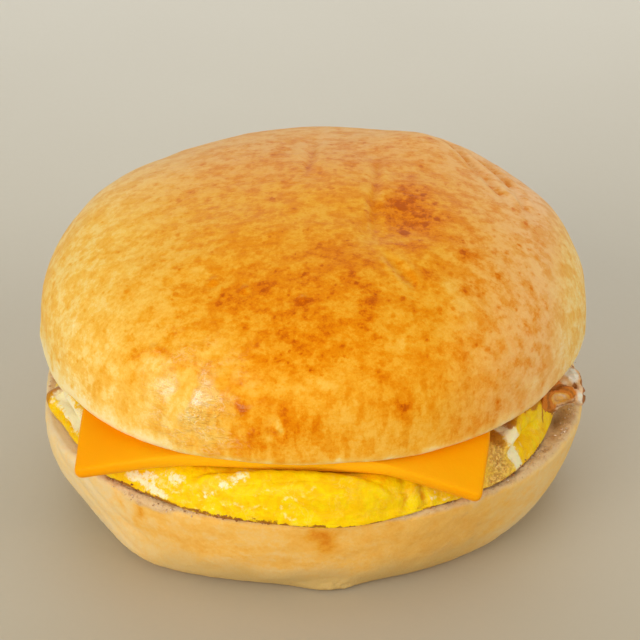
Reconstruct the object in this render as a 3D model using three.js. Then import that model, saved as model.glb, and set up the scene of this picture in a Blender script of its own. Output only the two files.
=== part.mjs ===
// Egg and cheese sandwich: a round roll cut across, with a folded egg and a square slice of cheese inside.
// Lengths are millimetres, +Z is up and the front of the sandwich faces -Y.
// The origin is on the resting face, under the middle of the roll.

import * as THREE from "three";

const TURN = 2 * Math.PI;
const degrees = THREE.MathUtils.degToRad;

// Driving dimensions of the roll
const CROWN_RADIUS = 56.9; // half the width of the top half, at its widest
const ROLL_DEPTH_SHARE = 0.97; // front to back against side to side
const HEEL_HEIGHT = 21.5; // the bottom half, up to its cut face
const HEEL_RIM_RADIUS = 58.2;
const HEEL_BASE_RADIUS = 47.5; // the flat that it rests on
const CROWN_HEIGHT = 35.9; // the top half, from its cut face up
const CROWN_CUT_RADIUS = 53; // the top half's cut face
const CROWN_BELLY = 3.1; // from the cut face up to the widest ring
const CROWN_LEAN = 4.4; // the top of the dome lies this far to the right
const CRUST_EDGE = 1.4; // rounding where the crust meets the bottom half's cut face
// Exponents of the curved sides, 1 and 1 being a quarter of an ellipse
const HEEL_SIDE = { out: 1.16, up: 1.56 };
const CROWN_DOME = { out: 1.06, up: 0.73 };

// Driving dimensions of the filling
const CLEARANCE = 0.3; // left between pieces that touch
const EGG_THICKNESS = 8.4;
const EGG_SWELL = 2.8; // the egg stands this much higher beside the slice
const EGG_SWELL_REACH = [1.5, 7]; // where that begins and where it is full, past the slice's edge
const SLICE_SIDE = 83; // a square slice of cheese
const SLICE_THICKNESS = 3;
const SLICE_CENTRE = { x: -3.2, y: -7.5 };
const SLICE_TURN = degrees(-5);
const SLICE_CORNER = 1.2; // corner radius

// Heights that follow from these
const EGG_BOTTOM = HEEL_HEIGHT + CLEARANCE;
const SLICE_BOTTOM = EGG_BOTTOM + EGG_THICKNESS + CLEARANCE;
const CROWN_CUT = SLICE_BOTTOM + SLICE_THICKNESS + CLEARANCE;
const CROWN_WIDEST = CROWN_CUT + CROWN_BELLY;
const CROWN_TOP = CROWN_CUT + CROWN_HEIGHT;

const smooth = (low, high, value) => THREE.MathUtils.smoothstep(value, low, high);
const bell = (distance, width) => Math.exp(-((distance / width) ** 2));

// The signed angle from one bearing to another, in radians, between minus and plus half a turn
const bearingGap = (a, b) => Math.atan2(Math.sin(a - b), Math.cos(a - b));

// How far a soft form reaches round its bearing
const reachRound = (bearing, form) => bell(bearingGap(bearing, form.bearing), form.half);

// A sum of a few waves round the roll: each is [share, waves per turn, phase]
const ripple = (bearing, waves) =>
  waves.reduce((sum, [share, count, phase]) => sum + share * Math.cos(count * bearing + phase), 0);

// Soft lumps of about the given width over a surface, between -1 and 1
function lumps(x, y, width, phase) {
  const k = TURN / width;
  return (
    (Math.sin(k * x + phase) * Math.cos(k * y * 0.83 - phase) +
      Math.sin(k * (0.62 * x - 0.78 * y) + 2.1 * phase) +
      Math.cos(k * (0.45 * x + 0.95 * y) - 1.3 * phase)) /
    3
  );
}

// A closed surface between two poles. Each ring of the profile is turned round Z, and place(ring, bearing)
// gives its point there. A ring is any value that place understands, and the first and last are the poles.
function turned(rings, columns, place) {
  const points = [];
  const faces = [];
  const last = rings.length - 1;
  points.push(...place(rings[0], 0));
  for (let i = 1; i < last; i++)
    for (let j = 0; j < columns; j++) points.push(...place(rings[i], (TURN * j) / columns));
  points.push(...place(rings[last], 0));
  const index = (i, j) => 1 + (i - 1) * columns + (j % columns);
  const top = 1 + (last - 1) * columns;
  for (let j = 0; j < columns; j++) {
    faces.push(0, index(1, j + 1), index(1, j));
    faces.push(top, index(last - 1, j), index(last - 1, j + 1));
    for (let i = 1; i < last - 1; i++) {
      faces.push(index(i, j), index(i, j + 1), index(i + 1, j + 1));
      faces.push(index(i, j), index(i + 1, j + 1), index(i + 1, j));
    }
  }
  return surface(points, faces);
}

// A closed sheet over a grid of rows by columns. place(row, column, side) gives a point of its lower face (side 0)
// or its upper face (side 1).
function sheet(rows, columns, place) {
  const points = [];
  const faces = [];
  const index = (i, j, side) => side * rows * columns + i * columns + j;
  for (const side of [0, 1])
    for (let i = 0; i < rows; i++) for (let j = 0; j < columns; j++) points.push(...place(i, j, side));
  const quad = (a, b, c, d) => faces.push(a, b, c, a, c, d);
  for (let i = 0; i < rows - 1; i++)
    for (let j = 0; j < columns - 1; j++) {
      quad(index(i, j, 1), index(i, j + 1, 1), index(i + 1, j + 1, 1), index(i + 1, j, 1));
      quad(index(i, j, 0), index(i + 1, j, 0), index(i + 1, j + 1, 0), index(i, j + 1, 0));
    }
  for (let j = 0; j < columns - 1; j++) {
    quad(index(0, j, 0), index(0, j + 1, 0), index(0, j + 1, 1), index(0, j, 1));
    const end = rows - 1;
    quad(index(end, j + 1, 0), index(end, j, 0), index(end, j, 1), index(end, j + 1, 1));
  }
  for (let i = 0; i < rows - 1; i++) {
    const end = columns - 1;
    quad(index(i + 1, 0, 0), index(i, 0, 0), index(i, 0, 1), index(i + 1, 0, 1));
    quad(index(i, end, 0), index(i + 1, end, 0), index(i + 1, end, 1), index(i, end, 1));
  }
  return surface(points, faces);
}

function surface(points, faces) {
  const geometry = new THREE.BufferGeometry();
  geometry.setAttribute("position", new THREE.Float32BufferAttribute(points, 3));
  geometry.setIndex(faces);
  return geometry;
}

// Shares of the way from 0 to 1, without the 0
const steps = (count) => Array.from({ length: count }, (_, i) => (i + 1) / count);

// The bottom half
const HEEL_OUTLINE = [
  [0.009, 2, 0.32],
  [0.0078, 3, -0.06],
  [-0.008, 4, 0],
];
const HEEL_DISH = 0.8; // the cut face is pressed in by this in the middle
// Where the crust bulges, spreads or, with a reach below 0, is drawn in. The middle is its height above the base.
const HEEL_FORMS = [
  { bearing: degrees(181), half: degrees(10), reach: -0.8, middle: 21, height: 7 },
  { bearing: degrees(203), half: degrees(8), reach: 1.3, middle: 15, height: 9 },
  { bearing: degrees(230), half: degrees(15), reach: 2.8, middle: 0, height: 7 },
  { bearing: degrees(274), half: degrees(8), reach: 2.4, middle: 0, height: 2.5 },
  { bearing: degrees(365), half: degrees(14), reach: -1.4, middle: 21, height: 8 },
];

function heelGeometry() {
  const cut = HEEL_RIM_RADIUS - CRUST_EDGE;
  const rings = [{ radius: 0, height: 0 }];
  steps(2).forEach((s) => rings.push({ radius: HEEL_BASE_RADIUS * (0.5 + 0.5 * s), height: 0 }));
  steps(9).forEach((s) => {
    const turn = (s * TURN) / 4;
    rings.push({
      radius: HEEL_BASE_RADIUS + (HEEL_RIM_RADIUS - HEEL_BASE_RADIUS) * Math.sin(turn) ** HEEL_SIDE.out,
      height: (HEEL_HEIGHT - CRUST_EDGE) * (1 - Math.cos(turn) ** HEEL_SIDE.up),
    });
  });
  steps(2).forEach((s) => {
    const turn = (s * TURN) / 4;
    const height = HEEL_HEIGHT - CRUST_EDGE * (1 - Math.sin(turn));
    rings.push({ radius: cut + CRUST_EDGE * Math.cos(turn), height });
  });
  steps(3).forEach((s) => {
    rings.push({ radius: cut * (1 - s), height: HEEL_HEIGHT - HEEL_DISH * smooth(0, 0.4, s) });
  });
  return turned(rings, 80, ({ radius, height }, bearing) => {
    const low = smooth(0.6, 1, radius / HEEL_BASE_RADIUS);
    const spread = HEEL_FORMS.reduce((sum, form) => {
      return sum + form.reach * reachRound(bearing, form) * bell(height - form.middle, form.height);
    }, 0);
    const r = radius * (1 + ripple(bearing, HEEL_OUTLINE)) + low * spread;
    return [r * Math.cos(bearing), r * Math.sin(bearing) * ROLL_DEPTH_SHARE, height];
  });
}

// The slice of cheese is flat over the egg and bends down at its two front corners. Each bend starts this far from
// the middle along its bearing, curves over its width, and then falls by its slope.
const SLICE_BENDS = [
  { bearing: degrees(224), start: 51.3, slope: 0.41, width: 4 },
  { bearing: degrees(302.5), start: 50.4, slope: 0.62, width: 2 },
];

// How far each bend has gone past its start at a point in plan, eased over its width
const pastBend = (bend, x, y) => {
  const past = x * Math.cos(bend.bearing) + y * Math.sin(bend.bearing) - bend.start;
  return (past + Math.hypot(past, bend.width)) / 2;
};

const sliceFall = (x, y) => SLICE_BENDS.reduce((fall, bend) => fall + bend.slope * pastBend(bend, x, y), 0);
const sliceHeight = (x, y) => SLICE_BOTTOM - sliceFall(x, y);

// Grid lines from one edge of the slice to the other, closer together in the rounded corners
function sliceLines() {
  const inner = SLICE_SIDE / 2 - SLICE_CORNER;
  const corner = [0, 0.5, 1].map((s) => inner + SLICE_CORNER * s);
  const middle = 16;
  const lines = [];
  for (let i = 1; i < middle; i++) lines.push(-inner + (2 * inner * i) / middle);
  return [...corner.map((v) => -v).reverse(), ...lines, ...corner];
}

// Pulls the corner of the square onto its rounding
function roundCorner(u, v) {
  const inner = SLICE_SIDE / 2 - SLICE_CORNER;
  const a = Math.max(0, Math.abs(u) - inner);
  const b = Math.max(0, Math.abs(v) - inner);
  if (a === 0 || b === 0) return [u, v];
  const pull = Math.max(a, b) / Math.hypot(a, b);
  return [Math.sign(u) * (inner + a * pull), Math.sign(v) * (inner + b * pull)];
}

function slicePlan(u, v) {
  const cos = Math.cos(SLICE_TURN);
  const sin = Math.sin(SLICE_TURN);
  return [SLICE_CENTRE.x + u * cos - v * sin, SLICE_CENTRE.y + u * sin + v * cos];
}

// A bent corner keeps its length along the slope, so in plan it draws in
function sliceDrawIn(x, y) {
  return SLICE_BENDS.reduce(
    (point, bend) => {
      const short = pastBend(bend, x, y) * (Math.hypot(1, bend.slope) - 1);
      return [point[0] - short * Math.cos(bend.bearing), point[1] - short * Math.sin(bend.bearing)];
    },
    [x, y],
  );
}

function sliceGeometry() {
  const lines = sliceLines();
  const tiny = 0.05;
  return sheet(lines.length, lines.length, (i, j, side) => {
    const [x, y] = slicePlan(...roundCorner(lines[j], lines[i]));
    const z = sliceHeight(x, y);
    const normal = new THREE.Vector3(
      (z - sliceHeight(x + tiny, y)) / tiny,
      (z - sliceHeight(x, y + tiny)) / tiny,
      1,
    ).normalize();
    const point = new THREE.Vector3(...sliceDrawIn(x, y), z);
    return point.addScaledVector(normal, side * SLICE_THICKNESS).toArray();
  });
}

// How far a point in plan lies outside the slice
function beyondSlice(x, y) {
  const cos = Math.cos(SLICE_TURN);
  const sin = Math.sin(SLICE_TURN);
  const u = (x - SLICE_CENTRE.x) * cos + (y - SLICE_CENTRE.y) * sin;
  const v = (y - SLICE_CENTRE.y) * cos - (x - SLICE_CENTRE.x) * sin;
  return Math.max(Math.abs(u), Math.abs(v)) - SLICE_SIDE / 2;
}

// The top half
const CROWN_OUTLINE = [
  [0.0172, 2, -0.53],
  [0.0081, 3, -0.44],
];
const CROWN_DROOP = 1.3; // its rim follows the slice's bent corners down by up to this
const CROWN_SAG = { bearing: degrees(195), half: degrees(20), drop: 2 }; // and hangs lower here
const CROWN_SAG_REACH = [2, 5.5]; // where that begins and where it is full, past the slice's edge
const CROWN_RIM = 8; // both fade out by this height above the widest ring
const CROWN_LUMPS = { width: 34, height: 0.35 }; // the dome is a little uneven
// In plan: swells and, with a height below 0, a hollow of the crust, and the creases round them
const CROWN_MOUNDS = [
  { x: 25, y: 25, width: 12, height: 2.1 },
  { x: 18, y: -14, width: 7, height: -1.6 },
  { x: -46, y: 10, width: 15, height: 2 },
  { x: 50, y: 8, width: 12, height: 1.2 },
];
const CROWN_CREASES = [
  { from: [13.5, 12], to: [12.6, -20], width: 3, depth: 0.9 },
  { from: [14.5, -24], to: [21, -33], width: 3, depth: 0.6 },
  { from: [0.5, 23], to: [-1, 2], width: 3, depth: 0.4 },
  { from: [29, 27], to: [36, 12], width: 3, depth: 0.8 },
  { from: [36, 12], to: [40, 3], width: 3, depth: 0.6 },
  { from: [35, 23], to: [43, 9], width: 3, depth: 0.8 },
];

// How far a point in plan lies from a crease
function creaseDistance({ from, to }, x, y) {
  const along = [to[0] - from[0], to[1] - from[1]];
  const share = ((x - from[0]) * along[0] + (y - from[1]) * along[1]) / (along[0] ** 2 + along[1] ** 2);
  const nearest = THREE.MathUtils.clamp(share, 0, 1);
  return Math.hypot(x - from[0] - nearest * along[0], y - from[1] - nearest * along[1]);
}

function crownRelief(x, y) {
  const mounds = CROWN_MOUNDS.map((form) => form.height * bell(Math.hypot(x - form.x, y - form.y), form.width));
  const depths = CROWN_CREASES.map((crease) => crease.depth * bell(creaseDistance(crease, x, y), crease.width));
  const uneven = CROWN_LUMPS.height * lumps(x, y, CROWN_LUMPS.width, 0.6);
  return mounds.reduce((sum, height) => sum + height) + uneven - Math.max(...depths);
}

function crownGeometry() {
  const rings = [{ radius: 0, height: CROWN_CUT }];
  steps(3).forEach((s) => rings.push({ radius: CROWN_CUT_RADIUS * (0.76 + 0.24 * s), height: CROWN_CUT }));
  steps(5).forEach((s) => {
    const turn = (s * TURN) / 4;
    rings.push({
      radius: CROWN_CUT_RADIUS + (CROWN_RADIUS - CROWN_CUT_RADIUS) * Math.sin(turn),
      height: CROWN_CUT + CROWN_BELLY * (1 - Math.cos(turn)),
    });
  });
  steps(24).forEach((s) => {
    const turn = (s * TURN) / 4;
    const height = CROWN_WIDEST + (CROWN_TOP - CROWN_WIDEST) * Math.sin(turn) ** CROWN_DOME.up;
    const radius = s === 1 ? 0 : CROWN_RADIUS * Math.cos(turn) ** CROWN_DOME.out;
    rings.push({ radius, height, dome: Math.sin(turn) });
  });
  return turned(rings, 88, ({ radius, height, dome = 0 }, bearing) => {
    const r = radius * (1 + ripple(bearing, CROWN_OUTLINE));
    const x = r * Math.cos(bearing) + CROWN_LEAN * dome ** 2;
    const y = r * Math.sin(bearing) * ROLL_DEPTH_SHARE;
    const low = 1 - smooth(CROWN_CUT, CROWN_WIDEST + CROWN_RIM, height);
    const droop = CROWN_DROOP * Math.tanh(sliceFall(x, y) / CROWN_DROOP);
    const sag = CROWN_SAG.drop * reachRound(bearing, CROWN_SAG) * smooth(...CROWN_SAG_REACH, beyondSlice(x, y));
    return [x, y, height - (droop + sag) * low + crownRelief(x, y) * smooth(0.2, 0.6, dome)];
  });
}

// The egg: a fried sheet folded over, so that its front is one round fold and its sides show layers
const EGG_RADIUS = 56; // of its lower edge
const EGG_OUTLINE = [
  [0.028, 1, degrees(140)],
  [0.005, 7, 0.4],
  [0.005, 11, 2.2],
];
const EGG_LOBE = { bearing: degrees(275), half: degrees(12), reach: 2.2 }; // hangs over the rim at the front
// Where its side stands in: the bearing, half width, and depth at its lower and its upper edge
const EGG_TUCKS = [
  { bearing: degrees(183), half: degrees(9), low: 4, high: 4 },
  { bearing: degrees(207), half: degrees(11), low: 2.6, high: 0 },
  { bearing: degrees(348), half: degrees(14), low: 3.2, high: 0.4 },
];
// The egg is this much thinner, as a share of its swell, under the crown's low rim
const EGG_THINNED = { bearing: CROWN_SAG.bearing, half: CROWN_SAG.half + degrees(3), share: 0.75 };
const EGG_FRONT = degrees(268);
const EGG_BULGE = 1.3; // its side stands out past its lower edge by this
const EGG_SHOULDER = 4; // and its top edge is rounded by this
const EGG_SETBACK = 3.6; // the side leans back by this from bottom to top
const EGG_LAYER_GROOVE = 4.5; // how deep the gap between the folded layers is at the sides
const EGG_PUCKER = { width: 15, height: 0.5 }; // soft lumps over its side
// The crisp edge of the sheet stands out of that gap at the right, as a wavy frill that droops towards the front
const EGG_FRILL = { bearing: degrees(-10), half: degrees(18), reach: 4, droop: 1.3, wave: 0.8 };
const EGG_TOP_LUMPS = { width: 21, height: 0.35 };

function eggTop(x, y) {
  const thinned = EGG_THINNED.share * reachRound(Math.atan2(y, x), EGG_THINNED);
  const swell = EGG_SWELL * (1 - thinned) * smooth(...EGG_SWELL_REACH, beyondSlice(x, y));
  const hollow = EGG_TOP_LUMPS.height * (1 + lumps(x, y, EGG_TOP_LUMPS.width, 1.4));
  return sliceHeight(x, y) - CLEARANCE + swell - hollow;
}

// From the middle height, where it is 0, to 1 at the bottom and the top, like the side of a round cushion
const rounding = (up) => 1 - (1 - Math.abs(2 * up - 1) ** 3) ** (1 / 3);

// How far the side of the egg stands in from its outline, at a share of the way up
function eggInset(up, bearing, gap) {
  const wave = 1 + 0.25 * Math.sin(9 * bearing + 1.1);
  const groove = gap * EGG_LAYER_GROOVE * wave * bell(up - 0.5 - 0.08 * Math.sin(4 * bearing), 0.13);
  const uneven = lumps(EGG_RADIUS * bearing, EGG_THICKNESS * up, EGG_PUCKER.width, 0.8);
  const pucker = EGG_PUCKER.height * uneven * up;
  return rounding(up) * (up < 0.5 ? EGG_BULGE : EGG_SHOULDER) + EGG_SETBACK * up + groove + pucker;
}

function eggGeometry() {
  const rings = [{ share: 0, up: 0 }, { share: 1, up: 0 }];
  const inner = 0.58; // the top's rings are close together outside this share of the radius
  steps(10).forEach((s) => rings.push({ share: 1, up: s }));
  steps(6).forEach((s) => rings.push({ share: 1 - (1 - inner) * s, up: 1 }));
  steps(2).forEach((s) => rings.push({ share: inner * (1 - s), up: 1 }));
  return turned(rings, 108, ({ share, up }, bearing) => {
    const along = bearingGap(bearing, EGG_FRILL.bearing) / EGG_FRILL.half;
    const frill = Math.max(0, 1 - Math.abs(along) ** 3) * smooth(0.4, 0.48, up) * (1 - smooth(0.62, 0.7, up));
    const aside = smooth(degrees(35), degrees(80), Math.abs(bearingGap(bearing, EGG_FRONT)));
    const gap = aside * smooth(1, 1.5, Math.abs(along));
    const lobe = EGG_LOBE.reach * reachRound(bearing, EGG_LOBE);
    const tucked = EGG_TUCKS.reduce((sum, tuck) => {
      return sum + (tuck.low + (tuck.high - tuck.low) * up) * reachRound(bearing, tuck);
    }, 0);
    const outline = EGG_RADIUS * (1 + ripple(bearing, EGG_OUTLINE)) + EGG_BULGE + lobe - tucked;
    const reach = frill * EGG_FRILL.reach * (1 + 0.15 * Math.sin(8 * along));
    const r = (outline - eggInset(up, bearing, gap) + reach) * share;
    const x = r * Math.cos(bearing);
    const y = r * Math.sin(bearing) * ROLL_DEPTH_SHARE;
    const flutter = frill * (EGG_FRILL.wave * Math.sin(9 * along + 1.2) - EGG_FRILL.droop * (1 - along));
    return [x, y, EGG_BOTTOM + (eggTop(x, y) - EGG_BOTTOM) * up + flutter];
  });
}

const food = (color, roughness) => new THREE.MeshStandardMaterial({ color, roughness, metalness: 0 });

function piece(name, geometry, material) {
  const mesh = new THREE.Mesh(geometry, material);
  mesh.name = name;
  return mesh;
}

const sandwich = new THREE.Group();
sandwich.add(
  piece("heel", heelGeometry(), food(0xe8b45a, 0.6)),
  piece("egg", eggGeometry(), food(0xf6c414, 0.4)),
  piece("cheese", sliceGeometry(), food(0xfba300, 0.35)),
  piece("crown", crownGeometry(), food(0xe29a3c, 0.4)),
);

export default sandwich;
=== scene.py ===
import math
from itertools import pairwise, product

import bmesh
import bpy
import numpy as np
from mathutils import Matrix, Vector


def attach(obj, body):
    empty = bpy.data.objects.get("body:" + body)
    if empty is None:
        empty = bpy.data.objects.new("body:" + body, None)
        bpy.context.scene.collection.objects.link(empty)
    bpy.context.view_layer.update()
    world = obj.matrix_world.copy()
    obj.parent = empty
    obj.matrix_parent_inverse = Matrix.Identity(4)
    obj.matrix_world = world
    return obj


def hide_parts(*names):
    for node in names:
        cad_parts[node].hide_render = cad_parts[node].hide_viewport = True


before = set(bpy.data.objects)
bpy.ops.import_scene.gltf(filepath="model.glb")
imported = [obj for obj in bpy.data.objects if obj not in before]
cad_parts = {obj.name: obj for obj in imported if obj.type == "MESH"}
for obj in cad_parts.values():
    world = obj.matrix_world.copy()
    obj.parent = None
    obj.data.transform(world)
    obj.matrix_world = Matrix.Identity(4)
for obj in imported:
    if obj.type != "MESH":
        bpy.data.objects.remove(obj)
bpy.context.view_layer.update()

# Lengths are millimetres and turn into metres where a mesh is made, but the studio and camera are in metres.
# Bearings run anticlockwise from +X, so 270 degrees is the front.
MM = 0.001
TURN = 2 * math.pi

# The camera, at the photograph's viewing angle
CAMERA_TARGET = Vector((0.0017, 0, 0.0357))
CAMERA_DISTANCE = 0.607
CAMERA_ELEVATION = math.radians(30.8)
CAMERA_LENS = 160.4  # for a sensor 36 mm wide

# The roll, as in the solids. The waves of an outline are each a share of the radius, a count and a phase.
ROLL_DEPTH_SHARE = 0.97  # the depth from front to back, as a share of the width
HEEL_HEIGHT = 21.5
HEEL_RIM_RADIUS = 58.2
HEEL_BASE_RADIUS = 47.5
CRUST_EDGE = 1.4  # rounding of the crust at the cut
HEEL_SIDE = (1.16, 1.56)  # powers of the side's curve, for its radius and its height
HEEL_OUTLINE = [(0.009, 2, 0.32), (0.0078, 3, -0.06), (-0.008, 4, 0)]
HEEL_DISH = 0.8  # depth of the dished cut face
# Where the heel's side swells or draws in: bearing and half width in degrees, reach, height and half height
HEEL_FORMS = [
    (181, 10, -0.8, 21, 7),
    (203, 8, 1.3, 15, 9),
    (230, 15, 2.8, 0, 7),
    (274, 8, 2.4, 0, 2.5),
    (365, 14, -1.4, 21, 8),
]
CROWN_RADIUS = 56.9
CROWN_HEIGHT = 35.9
CROWN_CUT_RADIUS = 53
CROWN_BELLY = 3.1  # height of the widest ring above the cut
CROWN_LEAN = 4.4  # how far the top stands to the right
CROWN_DOME = (1.06, 0.73)  # powers of the dome's curve, for its radius and its height
CROWN_OUTLINE = [(0.0172, 2, -0.53), (0.0081, 3, -0.44)]
CROWN_DROOP = 1.3  # how far the rim follows the slice down, at most
CROWN_SAG = (195, 20, 2)  # bearing and half width in degrees, and drop
CROWN_SAG_START = (2, 5.5)  # the sag grows between these distances outside the slice
CROWN_RIM_HEIGHT = 8  # droop and sag end this far above the widest ring

# The filling, as in the solids
CLEARANCE = 0.3
SLICE_SIDE = 83
SLICE_THICKNESS = 3
SLICE_CENTRE = (-3.2, -7.5)
SLICE_TURN = math.radians(-5)
SLICE_CORNER = 1.2
# The bends of its front corners: bearing in degrees, distance from the middle, slope and softness
SLICE_BENDS = [(224, 51.3, 0.41, 4), (302.5, 50.4, 0.62, 2)]
EGG_THICKNESS = 8.4
EGG_SWELL = 2.8  # how far its top rises beside the slice
EGG_SWELL_START = (1.5, 7)  # the swell grows between these distances outside the slice
EGG_RADIUS = 56
EGG_OUTLINE = [(0.028, 1, math.radians(140)), (0.005, 7, 0.4), (0.005, 11, 2.2)]
EGG_BULGE = 1.3
EGG_SHOULDER = 4  # rounding of its upper edge
EGG_SETBACK = 3.6  # how far the upper edge stands behind the lower one
EGG_LAYER_GROOVE = 4.5  # depth of the gap between its layers
EGG_PUCKER = (15, 0.5)  # width and height of the side's soft folds
EGG_LOBE = (275, 12, 2.2)  # bearing and half width in degrees, and reach
# Where its side stands in: bearing and half width in degrees, and depth at the bottom and at the top
EGG_TUCKS = [(183, 9, 4, 4), (207, 11, 2.6, 0), (348, 14, 3.2, 0.4)]
EGG_THINNED = (195, 23, 0.75)  # bearing and half width in degrees, and share of the swell that is missing

# Finer forms, in this script alone
SLICE_EDGE = 0.9  # rounding of the slice's long edges
SLICE_BOW = 1.1  # how far its front edge sags forward
EGG_SHOULDER_FILL = (0.62, 1.2, 3)  # share of the swell at the front, and where it grows outside the slice
FRILL_THICKNESS = 0.68

EGG_BOTTOM = HEEL_HEIGHT + CLEARANCE
SLICE_BOTTOM = EGG_BOTTOM + EGG_THICKNESS + CLEARANCE
CROWN_CUT = SLICE_BOTTOM + SLICE_THICKNESS + CLEARANCE
CROWN_WIDEST = CROWN_CUT + CROWN_BELLY
CROWN_TOP = CROWN_CUT + CROWN_HEIGHT

dice = np.random.default_rng(11)
GRADIENTS = dice.normal(size=(256, 3))
GRADIENTS /= np.linalg.norm(GRADIENTS, axis=1, keepdims=True)
SHUFFLE = dice.permutation(256)


def smooth(low, high, value):
    t = np.clip((value - low) / (high - low), 0, 1)
    return t * t * (3 - 2 * t)


def bell(distance, width):
    return np.exp(-((distance / width) ** 2))


def degrees_from(centre, bearing):
    """How far a bearing in radians lies past a centre in degrees, from -180 to 180."""
    return (np.degrees(bearing) - centre + 180) % 360 - 180


def round_bell(bearing, centre, half):
    """A soft form round a bearing, its centre and half width in degrees."""
    return bell(degrees_from(centre, bearing), half)


def ripple(bearing, waves):
    """How far an outline stands out, as a share of its radius."""
    return sum(share * np.cos(count * bearing + phase) for share, count, phase in waves)


def lumps(x, y, width, phase):
    """Soft even lumps of about this width, about -1 to 1."""
    k = TURN / width
    return (
        np.sin(k * x + phase) * np.cos(k * y * 0.83 - phase)
        + np.sin(k * (0.62 * x - 0.78 * y) + 2.1 * phase)
        + np.cos(k * (0.45 * x + 0.95 * y) - 1.3 * phase)
    ) / 3


def gradient_noise(points):
    """Noise with one lump to a unit, about -1 to 1."""
    cell = np.floor(points).astype(int)
    part = points - cell
    fade = part**3 * (part * (part * 6 - 15) + 10)
    total = np.zeros(points.shape[:-1])
    for corner in product((0, 1), repeat=3):
        i, j, k = np.moveaxis(cell + corner, -1, 0) & 255
        pick = SHUFFLE[(SHUFFLE[(SHUFFLE[i] + j) & 255] + k) & 255]
        near = np.prod(np.where(corner, fade, 1 - fade), axis=-1)
        total += near * ((part - corner) * GRADIENTS[pick]).sum(-1)
    return 1.6 * total


def noise(points, size, octaves=1, seed=0):
    """Noise with lumps of about this many millimetres, which may be three sizes along X, Y and Z."""
    spread = points / np.array(size, float)
    layers = [0.5**k * gradient_noise(spread * 2**k + 17.3 * seed + 5.1 * k) for k in range(octaves)]
    return sum(layers)


def greatest(*values):
    """The greatest of several values at each point."""
    return np.maximum.reduce(values)


def blobs(points, spots):
    """The greatest of several soft spots, each (x, y, z, reach along X, reach across, strength)."""
    x, y, z = np.moveaxis(points, -1, 0)
    return greatest(*[
        strength * np.exp(-(((x - cx) / along) ** 2) - ((y - cy) ** 2 + (z - cz) ** 2) / across**2)
        for cx, cy, cz, along, across, strength in spots
    ])


def segment_distance(x, y, start, end):
    """How far points lie from a straight line between two points, in plan or in other coordinates."""
    dx, dy = end[0] - start[0], end[1] - start[1]
    share = np.clip(((x - start[0]) * dx + (y - start[1]) * dy) / (dx * dx + dy * dy), 0, 1)
    return np.hypot(x - start[0] - share * dx, y - start[1] - share * dy)


def normals_of(grid, wrapped=True):
    """Directions outward from a grid, which is closed round its columns where it is wrapped."""
    onward = np.roll(grid, -1, 1) - np.roll(grid, 1, 1) if wrapped else np.gradient(grid, axis=1)
    normals = np.cross(onward, np.gradient(grid, axis=0))
    return normals / np.maximum(np.linalg.norm(normals, axis=-1, keepdims=True), 1e-9)


def raised(grid, relief):
    """The grid with its points moved outward by the relief."""
    return grid + relief[..., None] * normals_of(grid)


def closed_faces(rows, columns):
    """Faces of a grid that is closed round its columns, with a pole at each end: vertices 0 and 1."""
    index = 2 + np.arange(rows * columns).reshape(rows, columns)
    after = np.roll(index, -1, 1)
    quads = np.stack([index[:-1], after[:-1], after[1:], index[1:]], -1).reshape(-1, 4)
    first = np.stack([np.zeros(columns, int), after[0], index[0]], -1)
    last = np.stack([np.ones(columns, int), index[-1], after[-1]], -1)
    return [*quads.tolist(), *first.tolist(), *last.tolist()]


def add_piece(name, points, faces, material, node=None, masks=None):
    """Adds a smooth mesh. Its masks are values for each point, which the material reads by name."""
    mesh = bpy.data.meshes.new(name)
    mesh.from_pydata((np.asarray(points) * MM).tolist(), [], faces)
    mesh.polygons.foreach_set("use_smooth", [True] * len(mesh.polygons))
    for mask, values in (masks or {}).items():
        layer = mesh.attributes.new(mask, "FLOAT", "POINT")
        layer.data.foreach_set("value", np.asarray(values, np.float32))
    mesh.materials.append(material)
    mesh.update()
    piece = bpy.data.objects.new(name, mesh)
    bpy.context.scene.collection.objects.link(piece)
    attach(piece, "root")
    if node:
        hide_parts(node)


def add_turned(name, grid, material, node, masks):
    """Adds a piece from a grid closed round its columns, with a point in the middle of each end."""
    rows, columns, _ = grid.shape
    points = np.concatenate([grid[:1].mean(1), grid[-1:].mean(1), grid.reshape(-1, 3)])
    whole = {
        key: np.concatenate([values[:1].mean(1), values[-1:].mean(1), values.ravel()])
        for key, values in masks.items()
    }
    add_piece(name, points, closed_faces(rows, columns), material, node, whole)


def around(columns):
    return np.arange(columns) * TURN / columns


def ring_values(rings):
    """One column for each value that the rings of a grid hold."""
    return (np.array(values)[:, None] for values in zip(*rings))


def round_points(radius, bearing, height):
    """Points round the roll's axis, in its slightly flattened plan."""
    return np.stack([radius * np.cos(bearing), radius * np.sin(bearing) * ROLL_DEPTH_SHARE, height], -1)


# Materials


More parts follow.
